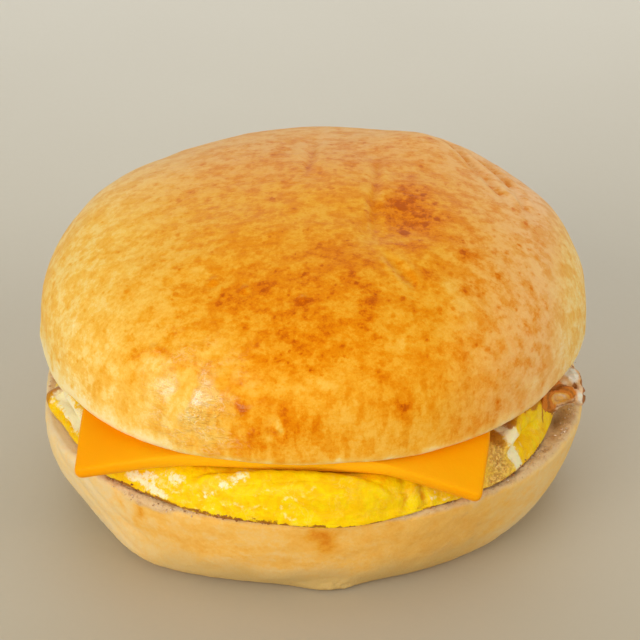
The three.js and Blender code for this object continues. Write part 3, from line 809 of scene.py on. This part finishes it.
def crown_masks(grid, crumb, top, sharp, ridge, glossy):
    x, y, z = np.moveaxis(grid, -1, 0)
    left = smooth(12, 54, -x)
    right = smooth(25, 56, x)
    front = smooth(30, 52, -y)
    reach = 2.5 + 5 * left + 3 * right
    rim = 1 - smooth(0, 1, (z + 1.2 * noise(grid, (3, 3, 9), 2, 8) - CROWN_CUT) / reach)
    ragged = wandering(grid)
    marks = dome_marks(ragged, CROWN_MARKS) + top_marks(grid + 0.3 * (ragged - grid), TOP_MARKS)
    behind = 0.08 * blobs(grid, [(5, 12, 68.5, 26, 16, 1)])
    beside = 0.29 * smooth(46, 56, x) * (1 - smooth(58, 66, z))
    drips = front * (1 - smooth(46, 54, z))
    tone = 0.59 - 0.305 * left - 0.04 * right - beside - 0.08 * smooth(0, 40, y) + behind + marks
    tone -= 0.09 * drips * (1 - smooth(15, 35, x)) * (1 - smooth(39, 46, z))
    # Painted shade along the bottom of each crease and painted light on the ridges beside it
    tone += top * (0.16 * sharp - 0.14 * ridge)
    # Paler towards the cut: partly the crust's own pale rim, partly painted light where the rim curves under
    # into shade
    rim_pale = 0.31 + 0.6 * np.maximum(tone - 0.3, 0)
    return {
        "tone": tone - rim_pale * rim,
        "mottled": 0.36 + 0.7 * np.clip(marks, 0, 0.3) - 0.1 * rim + 0.1 * right,
        "drips": drips,
        # Painted sheen, strongest at the right and towards the back
        "tan": 0.6 * smooth(22, 52, x) * (1 - 0.8 * smooth(47, 56, x)) + 0.42 * smooth(-12, 28, y),
        "crumb": crumb,
        # Where the coat gloss lies; the painted glints are drawn here too
        "gloss": blobs(grid, [glossy]) * smooth(-0.35, 0.25, noise(grid, 5, 2, 9)),
    }


def make_crown():
    radius, height, dome = crown_rings()
    grid = crown_grid(radius, height, dome)
    x, y, _ = np.moveaxis(grid, -1, 0)
    on_crust = 1e3 * (height > CROWN_CUT)
    crumb = 1 - smooth(CROWN_CUT_RADIUS - 1.2, CROWN_CUT_RADIUS - 0.2, radius + on_crust + 0 * x)
    wander = 0.7 * noise(grid, 9, 2, 3)
    places = {
        "crumb": crumb,
        "top": smooth(0.15, 0.5, dome),
        "glossy": (*dome_point(245, 9), 9, 9, 1),
    }
    places["sharp"], places["ridge"] = crease_lines(x + wander, y + 0.6 * wander)
    grid = raised(grid, crown_relief(grid, **places))
    add_turned("crown_bread", grid, crown_look(), "crown", crown_masks(grid, **places))


# The bottom half of the roll

# Soft folds of the crust at the front left, as (bearing in degrees, height) at each bend
HEEL_FOLDS = [[(204, 21), (213, 15.5), (221, 9), (230, 4.4)], [(214, 21), (222, 15), (232, 9.5)]]
# Darker and paler places, from left to right: bearing, height, half width, half height and strength
HEEL_MARKS = [
    # Darker
    (228.4, 17.5, 0.8, 1.8, 0.2), (231.4, 14, 0.8, 1.6, 0.24), (232.4, 16, 0.9, 1.6, 0.28),
    (233.6, 18, 0.9, 1.6, 0.28), (249, 13, 8, 2.5, 0.12), (271.5, 18.4, 3.4, 1.7, 0.3),
    (273, 15.4, 1.9, 2.2, 0.3),
    # Paler
    (248, 15.5, 3, 0.7, -0.15), (251, 10.2, 2, 0.3, -0.2), (256, 11.6, 1.6, 0.3, -0.2),
    (262, 7.4, 2, 0.3, -0.2), (262, 12.5, 3, 0.7, -0.15),
]


def heel_marks(bearing, height):
    """The sum of the soft marks on the heel's side."""
    total = 0
    for centre, level, wide, tall, strength in HEEL_MARKS:
        far = HEEL_RIM_RADIUS * np.radians(degrees_from(centre, bearing))
        total = total + strength * bell(far, wide) * bell(height - level, tall)
    return total


def heel_rings():
    """Radius, height and share of the turn onto the cut face for each ring, from the floor up."""
    cut = HEEL_RIM_RADIUS - CRUST_EDGE
    rings = [(HEEL_BASE_RADIUS * share, 0, 0) for share in np.linspace(0.05, 1, 14)[:-1]]
    for turn in np.linspace(0, TURN / 4, 56)[:-1]:
        radius = HEEL_BASE_RADIUS + (HEEL_RIM_RADIUS - HEEL_BASE_RADIUS) * math.sin(turn) ** HEEL_SIDE[0]
        rings.append((radius, (HEEL_HEIGHT - CRUST_EDGE) * (1 - math.cos(turn) ** HEEL_SIDE[1]), 0))
    for turn in np.linspace(0, TURN / 4, 9)[:-1]:
        height = HEEL_HEIGHT - CRUST_EDGE * (1 - math.sin(turn))
        rings.append((cut + CRUST_EDGE * math.cos(turn), height, turn / TURN * 4))
    for share in np.linspace(0, 0.98, 52) ** 1.6:
        rings.append((cut * (1 - share), HEEL_HEIGHT - HEEL_DISH * float(smooth(0, 0.4, share)), 1))
    return ring_values(rings)


def heel_grid(bearing, radius, height):
    low = smooth(0.6, 1, radius / HEEL_BASE_RADIUS)
    spread = 0
    for centre, half, reach, middle, tall in HEEL_FORMS:
        spread = spread + reach * round_bell(bearing, centre, half) * bell(height - middle, tall)
    r = radius * (1 + ripple(bearing, HEEL_OUTLINE)) + low * spread
    return round_points(r, bearing, height + 0 * r)


def heel_relief(grid, bearing, height, face, inward):
    side = (1 - face) * smooth(0.2, 1.2, height)
    wavy = 250 + degrees_from(250, bearing) + 0.9 * noise(grid, 6, 1, 20)
    folds = [segment_distance(wavy, height, *ends) for bends in HEEL_FOLDS for ends in pairwise(bends)]
    folds = bell(np.minimum.reduce(folds), 0.9)
    relief = side * (0.18 * noise(grid, (9, 9, 6), 2, 22) + 0.06 * noise(grid, 1.8, 3, 23) - 0.24 * folds)
    pocket = round_bell(bearing, -16.5, 6) * bell(inward - 3.2, 2)
    pores = np.minimum(noise(grid, 1.5, 3, 21), 0.25)
    even = 1 - 0.8 * round_bell(bearing, 203, 14)
    relief += face * (even * (0.25 * noise(grid, 5, 2, 24) + 0.35 * pores) - 1.4 * pocket)
    return relief + 0.5 * blobs(grid, [(5.4, -49, 1.7, 4, 2.4, 1)]) * noise(grid, 2, 2, 25) * side


def heel_masks(grid, bearing, height, top, face, inward):
    x, y, z = np.moveaxis(grid, -1, 0)
    torn = round_bell(bearing, 236, 8) * smooth(18.2, 20, height)
    wide = 0.3 * round_bell(bearing, 305, 22)
    uneven = 0.21 * noise(grid, 2.4, 2, 26)
    crumb = smooth(0.3, 0.75, top + uneven + 0.7 * torn + wide) * (1 - 0.9 * round_bell(bearing, 203, 14))
    near_floor = 1 - smooth(2, 12, z + 2.2 * noise(grid, 12, 2, 27))
    right = smooth(5, 50, x)
    left = smooth(28, 50, -x)
    marks = heel_marks(bearing, height + noise(grid, 3, 2, 28))
    # Painted light: the cut face at the left is made paler where the egg shades it
    tone = 0.49 - 0.18 * near_floor - 0.16 * right - 0.34 * left - 0.3 * face * left
    return {
        "tone": tone + 0.2 * round_bell(bearing, 300, 16) + marks,
        "mottled": 0.26 + 0.5 * np.clip(marks, 0, 0.4),
        "crumb": crumb,
        # Painted shadow in the crumb's hollow under the frill
        "painted_pocket_shadow": 0.75 * face * round_bell(bearing, -17.5, 3.6) * bell(inward - 3.4, 1.5),
        # Painted shade near the floor at the front and on the right front
        "low": near_floor * smooth(35, 50, -y) * (1.1 - 0.4 * left) + 0.35 * round_bell(bearing, 302, 14),
    }


def make_heel():
    radius, height, top = heel_rings()
    bearing = around(680)
    grid = heel_grid(bearing, radius, height)
    face = smooth(0.45, 1, top) + 0 * bearing
    inward = HEEL_RIM_RADIUS - CRUST_EDGE - radius
    grid = raised(grid, heel_relief(grid, bearing, height, face, inward))
    masks = heel_masks(grid, bearing, height, top, face, inward)
    add_turned("heel_bread", grid, heel_look(), "heel", masks)


# The egg


def egg_top(x, y):
    """The egg's top follows the slice, and rises beside it."""
    bearing = np.arctan2(y, x)
    centre, half, missing = EGG_THINNED
    swell = EGG_SWELL * (1 - missing * round_bell(bearing, centre, half))
    beyond = beyond_slice(x, y)
    front = round_bell(bearing, 268, 40)
    share, *start = EGG_SHOULDER_FILL
    swell = swell * np.maximum(smooth(*EGG_SWELL_START, beyond), share * front * smooth(*start, beyond))
    drop = 0.35 * (1 - 0.7 * front * smooth(-4, 0, beyond)) * (1 + lumps(x, y, 21, 1.4))
    return slice_height(x, y) - CLEARANCE + swell - drop


def egg_outline(bearing, up):
    """The reach of the egg's lower edge, with its lobe at the front and its tucks."""
    reach = EGG_RADIUS * (1 + ripple(bearing, EGG_OUTLINE)) + EGG_BULGE
    centre, half, lobe = EGG_LOBE
    reach = reach + lobe * round_bell(bearing, centre, half)
    for centre, half, low, high in EGG_TUCKS:
        reach = reach - (low + (high - low) * up) * round_bell(bearing, centre, half)
    return reach


def egg_inset(up, bearing, gap):
    """How far the side stands behind the lower edge, with a share of the gap between the layers."""
    rounding = 1 - (1 - np.abs(2 * up - 1) ** 3) ** (1 / 3)
    wave = 1 + 0.25 * np.sin(9 * bearing + 1.1)
    groove = gap * EGG_LAYER_GROOVE * wave * bell(up - 0.5 - 0.08 * np.sin(4 * bearing), 0.13)
    width, tall = EGG_PUCKER
    pucker = tall * lumps(EGG_RADIUS * bearing, EGG_THICKNESS * up, width, 0.8) * up
    return rounding * np.where(up < 0.5, EGG_BULGE, EGG_SHOULDER) + EGG_SETBACK * up + groove + pucker


class EggSide:
    """Soft marks on the egg's side, as lists of them are given. Each kind gives its greatest value."""

    def __init__(self, bearing, up, wander):
        self.along = 250 + degrees_from(250, bearing) + wander
        self.tall = EGG_THICKNESS * up + wander

    def spots(self, marks):
        return greatest(*[
            strength * bell(self.along - centre, wide) * bell(self.tall - EGG_THICKNESS * level, tall)
            for centre, level, wide, tall, strength in marks
        ])

    def lines(self, lines):
        return greatest(*[
            strength * bell(segment_distance(self.along, self.tall, *ends), width)
            for width, strength, points in lines
            for ends in pairwise((centre, EGG_THICKNESS * level) for centre, level in points)
        ])

    def rings(self, marks):
        return greatest(*[
            strength * bell(np.hypot(self.along - centre, self.tall - EGG_THICKNESS * level) - radius, width)
            for centre, level, radius, width, strength in marks
        ])


# Lines on the egg's side: half width, strength, and points of bearing and share of the height
# On the front, from bearing 230 to 271, the pale and white marks are partly streaks of egg white and partly
# painted highlights on the glossy egg
EGG_PALE_LINES = [
    (0.8, 1.0, [(231.5, 0.36), (234, 0.36), (236, 0.28), (239, 0.2)]),
    (0.5, 0.8, [(236, 0.52), (239, 0.5), (243, 0.42)]),
    (0.9, 1.0, [(250.6, 0.84), (252.6, 0.74), (254.2, 0.86), (256.6, 0.92)]),
    (0.3, 0.9, [(249, 0.62), (248.6, 0.45)]),
    (0.3, 0.8, [(250.6, 0.6), (250.8, 0.48)]),
    (0.25, 0.7, [(246.6, 0.42), (247.4, 0.34)]),
    (0.25, 0.7, [(252.5, 0.34), (254.5, 0.38), (256.5, 0.32)]),
    (0.3, 0.65, [(258.5, 0.56), (260, 0.66), (262, 0.68), (263, 0.6)]),
    (0.25, 0.6, [(258, 0.32), (260, 0.38), (261.5, 0.34)]),
    (0.3, 0.6, [(268.6, 0.66), (270.4, 0.76)]),
    (0.3, 0.5, [(244, 0.62), (245.6, 0.5), (245.2, 0.36)]),
    (0.5, 0.6, [(321.6, 0.75), (321.8, 0.35)]),
    (0.5, 0.6, [(315.6, 0.32), (316.4, 0.2)]),
]
EGG_WHITE_LINES = [
    (1.5, 1.15, [(230, 0.42), (232, 0.4), (234.4, 0.38), (236, 0.3), (238.6, 0.22)]),
    (0.9, 0.75, [(251.2, 0.76), (252.8, 0.74), (254.2, 0.84), (256, 0.9)]),
    (1.8, 1.8, [(318.8, 1), (318.6, 0.6), (318.2, 0.22)]),
    (2.3, 1.8, [(190, 0.8), (196, 0.78), (200, 0.72), (204.2, 0.68), (209, 0.64)]),
    (1.6, 1.4, [(191, 0.52), (197, 0.52), (203, 0.46), (207, 0.46)]),
]
EGG_FRIED_LINES = [
    (0.9, 1.1, [(320, 0.96), (325.5, 0.92), (329, 0.85), (332, 0.78), (336, 0.68)]),
    (0.5, 1.2, [(334.4, 0.66), (332.4, 0.36)]),
]
# The browned line where the egg meets the roll
EGG_LOW_LINE = [
    (0.8, 1.2, [(226, 0.02), (236, 0.03), (243, 0.05)]),
    (0.5, 1, [(243, 0.05), (249, 0.05), (252, 0.02)]),
    (0.7, 1.15, [(252, 0), (258, 0.02), (263, 0.03)]),
    (0.35, 1.0, [(263, 0.01), (268, 0.02)]),
    (0.35, 0.95, [(268, 0.02), (284, 0.02), (300, 0.02)]),
    (0.5, 1.1, [(305, 0.02), (318, 0.02), (333, 0)]),
]
# Spots on its side: bearing, share of the height, half width, half height and strength
EGG_WHITE_SPOTS = [
    (240.8, 0.75, 3, 1.1, 1.1), (234.5, 0.58, 2.6, 1.1, 1.0), (249, 0.5, 1.6, 1, 0.75),
    (236, 0.5, 2, 1, 0.6), (295.6, 0.44, 1.6, 1.2, 0.7), (298.5, 0.2, 1.6, 0.6, 0.6),
    (318.4, 0.62, 1.6, 1.5, 1.2),
]
EGG_PALE_SPOTS = [(237, 0.5, 7, 2.6, 0.68)]
EGG_FRIED_SPOTS = [
    (315.4, 0.95, 2.2, 1.5, 1.25), (193.5, 0.32, 2.6, 2, 1.25), (292, 0.16, 2, 0.5, 0.6),
    (287.5, 0.12, 3, 0.4, 0.55), (312, 0.14, 2, 0.6, 0.7),
]
# Here it is deeper yellow, or a little fried
EGG_AMBER_SPOTS = [
    (331, 0.92, 8, 2.2, 0.9), (322.4, 0.5, 1.2, 5, 0.6), (331, 0.35, 2.6, 4, 0.5),
    (289.4, 0.62, 1, 2, 0.8), (293.6, 0.5, 1, 3, 0.9), (291, 0.2, 5, 1, 0.6),
]
EGG_POROUS_SPOTS = [(313.4, 0.55, 3.4, 5, 1.1), (311, 0.2, 3, 2.4, 1)]
EGG_DENTS = [
    (289.4, 0.62, 0.9, 3, 0.8), (293.6, 0.45, 0.8, 3.4, 1.0), (322.4, 0.5, 0.9, 5, 0.3),
    (326.8, 0.45, 1.2, 5, 0.25), (203.5, 0.29, 6, 0.4, 0.8),
]
EGG_SWELLINGS = [(194.6, 0.35, 2.4, 1.7, 1)]
# Rings on its side: bearing, share of the height, radius, half width and strength
EGG_PALE_RINGS = [(266, 0.38, 1.8, 0.35, 0.75), (266.4, 0.38, 0.7, 0.25, 0.5)]


def egg_rings():
    """The share of the radius and of the height for each ring, from the underside to the top."""
    rings = [(share, 0) for share in np.linspace(0.6, 1, 8)[:-1]]
    rings += [(1, up) for up in np.linspace(0, 1, 70)]
    rings += [(share, 1) for share in np.linspace(1, 0.3, 40)[1:]]
    return ring_values(rings)


def egg_grid(bearing, share, up, from_front):
    gap = smooth(35, 80, from_front) * smooth(18, 27, np.abs(degrees_from(-10, bearing)))
    r = (egg_outline(bearing, up) - egg_inset(up, bearing, gap)) * share
    grid = round_points(r, bearing, EGG_BOTTOM + 0 * r)
    top = egg_top(grid[..., 0], grid[..., 1])
    grid[..., 2] += (top - EGG_BOTTOM) * up
    return grid


def egg_relief(grid, marks, side, up):
    pores = np.minimum(noise(grid, 1.3, 3, 34), 0.2)
    relief = side * (
        0.35 * noise(grid, (7, 7, 4), 3, 32)
        + 0.12 * noise(grid, 2, 3, 33)
        - 1.1 * marks.spots(EGG_DENTS)
        + 0.5 * marks.spots(EGG_POROUS_SPOTS) * pores
        + 0.2 * marks.lines(EGG_PALE_LINES)
        + 2 * marks.spots(EGG_SWELLINGS)
        + 0.5 * bell(marks.along - 266, 30) * smooth(0.3, 0.6, up)
    )
    return relief + (1 - side) * up * 0.15 * noise(grid, 4, 3, 35)


def egg_masks(grid, marks, up, from_front, tucked):
    back = smooth(70, 110, from_front) * smooth(12, 20, np.abs(marks.along - 200))
    back_white = 0.9 * back * smooth(0.05, 0.5, noise(grid, (11, 11, 5), 2, 36)) * smooth(0.35, 0.7, up)
    back_fried = 0.75 * back * smooth(0.1, 0.5, noise(grid, 6, 2, 37))
    pale_marks = marks.rings(EGG_PALE_RINGS), marks.spots(EGG_PALE_SPOTS)
    return {
        "white": greatest(marks.lines(EGG_WHITE_LINES), marks.spots(EGG_WHITE_SPOTS), back_white),
        "pale": greatest(marks.lines(EGG_PALE_LINES), *pale_marks),
        "fried": greatest(marks.spots(EGG_FRIED_SPOTS), marks.lines(EGG_FRIED_LINES), back_fried),
        "amber": greatest(marks.spots(EGG_AMBER_SPOTS), 0.8 * tucked),
        "porous": marks.spots(EGG_POROUS_SPOTS),
        "dark": greatest(marks.lines(EGG_LOW_LINE), 0.7 * back * bell(up, 0.07)),
    }


def make_egg():
    share, up = egg_rings()
    bearing = around(840)
    from_front = np.abs(degrees_from(268, bearing))
    grid = egg_grid(bearing, share, up, from_front)
    x, y, _ = np.moveaxis(grid, -1, 0)
    side = smooth(0.97, 1, share) * smooth(0, 0.1, up) + 0 * x
    under_slice = 1 - smooth(0.8, 1.5, beyond_slice(x, y))
    # Under the slice at the front the egg lies in shade; the amber painted here is painted shade
    tucked = bell(from_front, 30) * under_slice * smooth(0.7, 0.95, up)
    marks = EggSide(bearing, up, 0.5 * noise(grid, 2, 3, 31))
    grid = raised(grid, egg_relief(grid, marks, side, up))
    masks = egg_masks(grid, marks, up, from_front, tucked)
    add_turned("egg_fold", grid, egg_look(), "egg", masks)


# The frill's folds from front to back: the inner, middle and outer point, each as (bearing, radius, height)
FRILL_FOLDS = [
    [(333.5, 52.6, 25), (335.8, 53.3, 24.5), (338.6, 53.4, 23.5)],
    [(334.5, 52.8, 29), (338, 54.2, 26.8), (342.5, 54, 24)],
    [(335, 53, 31), (339, 55.2, 28.4), (342.7, 56, 25)],
    [(337, 53, 31.5), (339.7, 56.6, 29), (342.5, 57.8, 25.5)],
    [(339.5, 53, 31.5), (341, 57.2, 29.8), (341.8, 59.7, 26)],
    [(341, 53, 31.5), (342, 57.6, 29.2), (341.8, 59.8, 28)],
    [(343, 53, 31.5), (343.5, 57, 30.4), (343.5, 58.5, 29)],
    [(344.5, 53, 31.5), (344.5, 56.8, 31.2), (344.6, 58.2, 30)],
    [(346, 53, 31.5), (346.2, 56.2, 31.2), (347.2, 56.9, 30)],
    [(348, 52.6, 31), (348, 54.6, 31), (349, 55.5, 30.4)],
    [(354, 52, 30), (354, 53, 29.8), (354, 54.4, 29.4)],
    [(361, 51, 29.5), (361, 52.4, 29), (361, 54, 28.4)],
]


def curve_through(points, count):
    """A smooth curve through points, that passes each at an equal share of its length."""
    points = np.asarray(points, float)
    padded = np.concatenate([2 * points[:1] - points[1:2], points, 2 * points[-1:] - points[-2:-1]])
    at = np.linspace(0, len(points) - 1, count)
    piece = np.minimum(at.astype(int), len(points) - 2)
    t = (at - piece).reshape(-1, *[1] * (points.ndim - 1))
    a, b, c, d = (padded[piece + k] for k in range(4))
    return b + t * (c - a) / 2 + t**2 * (a - 2.5 * b + 2 * c - d / 2) + t**3 * (1.5 * (b - c) + (d - a) / 2)


def frill_film():
    """The film's middle surface, and the number of the fold and the share of the way out of its points."""
    bearing, radius, height = np.moveaxis(np.array(FRILL_FOLDS, float), -1, 0)
    folds = round_points(radius, np.radians(bearing), height)
    inner, middle, outer = np.moveaxis(curve_through(folds, 190), 1, 0)
    t = np.linspace(0, 1, 46)[:, None, None]
    film = inner * (1 - t) * (1 - 2 * t) + middle * 4 * t * (1 - t) + outer * t * (2 * t - 1)
    return film, np.linspace(0, len(FRILL_FOLDS) - 1, 190)[None, :], t[..., 0]


def sheet_faces(rows, columns):
    """Faces of two grids, the second under the first, joined round their rims."""
    count = rows * columns
    index = np.arange(count).reshape(rows, columns)
    loop = [*index[0], *index[1:, -1], *index[-1, -2::-1], *index[-2:0:-1, 0]]
    sheet = np.stack([index[:-1, :-1], index[:-1, 1:], index[1:, 1:], index[1:, :-1]], -1).reshape(-1, 4)
    faces = [*sheet.tolist(), *(sheet[:, ::-1] + count).tolist()]
    for a, b in zip(loop, loop[1:] + loop[:1]):
        faces.append([int(b), int(a), int(a) + count, int(b) + count])
    return faces


def frill_masks(along, out, ring, crest):
    rim = smooth(0.8, 0.93, out)
    back = smooth(3.6, 4.8, along)
    fan = bell(along - 7, 1.7) * bell(out - 0.45, 0.36)
    lobe = bell(along - 4.3, 0.8) * bell(out - 0.82, 0.2)
    front_film = (1 - smooth(0.55, 0.85, out)) * (1 - back)
    streak = segment_distance(along, 3 * out, (0.2, 0.4), (0.5, 2.6))
    return {
        "white": greatest(1.1 * fan, lobe, 0.55 * rim * (1 - back), 0.5 * bell(ring, 0.7)),
        "golden": 0.7 * greatest(bell(ring - 1.3, 0.5), bell(ring, 1.2)),
        "film": 0.95 * front_film * smooth(0.9, 1.8, ring) + 0.5 * (1 - smooth(0, 0.3, out)),
        "edge": greatest(rim * back, bell(crest, 0.26), bell(streak, 0.3), 0.6 * bell(ring - 2, 0.4)),
    }


def make_frill():
    """The crisp wavy edge of the egg, a thin film that stands out at the right."""
    film, along, out = frill_film()
    normals = normals_of(film, wrapped=False)
    ring = np.hypot((along - 2.1) * 1.4, (out - 0.5) * 5)
    crest = segment_distance(along, 3 * out, (2.6, 0.1), (5.6, 1.7))
    lift = 0.25 * bell(ring - 1.1, 0.5) - 0.3 * bell(ring, 0.6) + 0.7 * bell(crest, 0.3)
    lift = lift + 0.35 * noise(film, 2.2, 3, 40) * smooth(0.1, 0.4, out)
    film = film + lift[..., None] * normals
    thick = FRILL_THICKNESS / 2 + 0.12 * noise(film, 3, 2, 41) + 0.1 * smooth(0.85, 1, out)
    layers = [film + thick[..., None] * normals, film - thick[..., None] * normals]
    points = np.concatenate([layer.reshape(-1, 3) for layer in layers])
    masks = frill_masks(along, out, ring, crest)
    masks = {key: np.tile(values.ravel(), 2) for key, values in masks.items()}
    faces = sheet_faces(*film.shape[:2])
    add_piece("egg_frill", points, faces, frill_look(), masks=masks)


# Crumbs and fried specks, one mesh for each kind


def unit_ball():
    """The points and faces of a ball of unit radius."""
    form = bmesh.new()
    bmesh.ops.create_icosphere(form, subdivisions=2, radius=1)
    points = np.array([v.co for v in form.verts])
    faces = np.array([[v.index for v in f.verts] for f in form.faces])
    form.free()
    return points, faces


def scatter(name, places, sizes, squash, material):
    """Adds one mesh of small uneven lumps, flattened by squash."""
    ball, triangles = unit_ball()
    points, faces = [], []
    for n, (place, size) in enumerate(zip(places, sizes)):
        turn = np.linalg.qr(dice.normal(size=(3, 3)))[0]
        bumpy = ball * (1 + 0.55 * noise(ball + 7 * n, 1.1, 2, 50))[:, None]
        bumpy = (bumpy @ turn) * size * np.array([1, 1, squash])
        points.append(bumpy + place)
        faces.append(triangles + n * len(ball))
    add_piece(name, np.concatenate(points), np.concatenate(faces).tolist(), material)


def make_crumbs():
    """Crumbs on the heel's cut face and along its torn edge at the front left."""
    count = 240
    bearing = dice.uniform(0, 360, count)
    kind = dice.uniform(size=count)
    bearing = np.where(kind < 0.35, dice.uniform(285, 350, count), bearing)
    torn = (kind > 0.35) & (kind < 0.6)
    bearing = np.radians(np.where(torn, dice.uniform(226, 247, count), bearing))
    edge = HEEL_RIM_RADIUS * (1 + ripple(bearing, HEEL_OUTLINE))
    r = edge - np.where(torn, dice.uniform(-0.1, 1.3, count), dice.uniform(0.9, 3.4, count))
    height = np.where(torn, HEEL_HEIGHT - dice.uniform(0.2, 1.6, count), HEEL_HEIGHT - 0.05)
    sizes = dice.uniform(0.1, 0.26, count)
    look = crumbs_look("crumbs", (0.84, 0.64, 0.42), (0.5, 0.27, 0.1), 0.75)
    scatter("crumbs", round_points(r, bearing, height), sizes, 0.7, look)


def make_specks():
    """Fried specks where the egg meets the roll."""
    count = 120
    left = dice.uniform(size=count) < 0.8
    bearing = np.radians(np.where(left, dice.uniform(226, 262, count), dice.uniform(306, 330, count)))
    out = np.where(left, dice.uniform(-0.5, 0.1, count), dice.uniform(-0.3, 0.5, count))
    up = dice.uniform(0, 1, count) ** 2 * 0.11
    r = egg_outline(bearing, up) - egg_inset(up, bearing, 0) + out
    height = EGG_BOTTOM + EGG_THICKNESS * up
    sizes = dice.uniform(0.12, 0.3, count)
    look = crumbs_look("fried_specks", (0.5, 0.2, 0.04), (0.28, 0.085, 0.016), 0.5)
    scatter("fried_specks", round_points(r, bearing, height), sizes, 0.7, look)


# Floor, light and camera

FLOOR_HALF = 3.0
# Area lights, each as name, place, point that it faces, width and height, power and colour
LIGHTS = [
    ("window", (-0.66, -0.8, 0.5), (0, 0, 0.03), (0.9, 0.75), 5.9, (1, 0.99, 0.97)),
    ("overhead", (0.0, 0.05, 1.1), (0, 0, 0.03), (1.1, 1.1), 3.0, (1, 1, 1)),
    ("back", (0.15, 1.0, 0.34), (0, 0, 0.05), (1.5, 0.4), 2.2, (1, 1, 1)),
    ("fill", (0.9, -0.45, 0.5), (0, 0, 0.03), (0.8, 0.7), 3.8, (1, 1, 1)),
    ("low", (-0.74, -0.68, 0.14), (0, 0, 0.035), (0.3, 0.14), 2.0, (1, 1, 1)),
    ("front", (0.2, -1.0, 0.14), (0, 0, 0.03), (0.7, 0.14), 1.2, (1, 1, 1)),
    ("backdrop", (0, 1.3, 0.9), (0, 0.75, 0), (1.6, 0.5), 3.4, (0.9, 0.97, 1)),
]
SKY_COLOUR = (0.93, 0.94, 0.95, 1)
SKY_STRENGTH = 0.3


def add_light(name, place, target, size, power, colour):
    light = bpy.data.lights.new(name, "AREA")
    light.shape = "RECTANGLE"
    light.size, light.size_y = size
    light.energy = power
    light.color = colour
    lamp = bpy.data.objects.new(name, light)
    lamp.location = place
    lamp.rotation_euler = (Vector(target) - Vector(place)).to_track_quat("-Z", "Y").to_euler()
    bpy.context.scene.collection.objects.link(lamp)


def make_floor():
    mesh = bpy.data.meshes.new("floor")
    corners = [(FLOOR_HALF * x, FLOOR_HALF * y, 0) for x, y in [(-1, -1), (1, -1), (1, 1), (-1, 1)]]
    mesh.from_pydata(corners, [], [(0, 1, 2, 3)])
    mesh.materials.append(floor_look())
    floor = bpy.data.objects.new("floor", mesh)
    bpy.context.scene.collection.objects.link(floor)


def make_studio():
    make_floor()
    for light in LIGHTS:
        add_light(*light)
    world = bpy.data.worlds.new("studio")
    world.use_nodes = True
    background = world.node_tree.nodes["Background"]
    background.inputs["Color"].default_value = SKY_COLOUR
    background.inputs["Strength"].default_value = SKY_STRENGTH
    bpy.context.scene.world = world
    bpy.context.scene.view_settings.view_transform = "Standard"
    bpy.context.scene.view_settings.look = "None"


def make_camera():
    data = bpy.data.cameras.new("camera")
    data.sensor_width = 36
    data.lens = CAMERA_LENS
    data.clip_start = 0.01
    camera = bpy.data.objects.new("camera", data)
    away = Vector((0, -math.cos(CAMERA_ELEVATION), math.sin(CAMERA_ELEVATION)))
    camera.location = CAMERA_TARGET + CAMERA_DISTANCE * away
    camera.rotation_euler = (-away).to_track_quat("-Z", "Y").to_euler()
    bpy.context.scene.collection.objects.link(camera)
    bpy.context.scene.camera = camera


make_camera()
make_studio()
make_heel()
make_egg()
make_frill()
make_cheese()
make_crown()
make_crumbs()
make_specks()
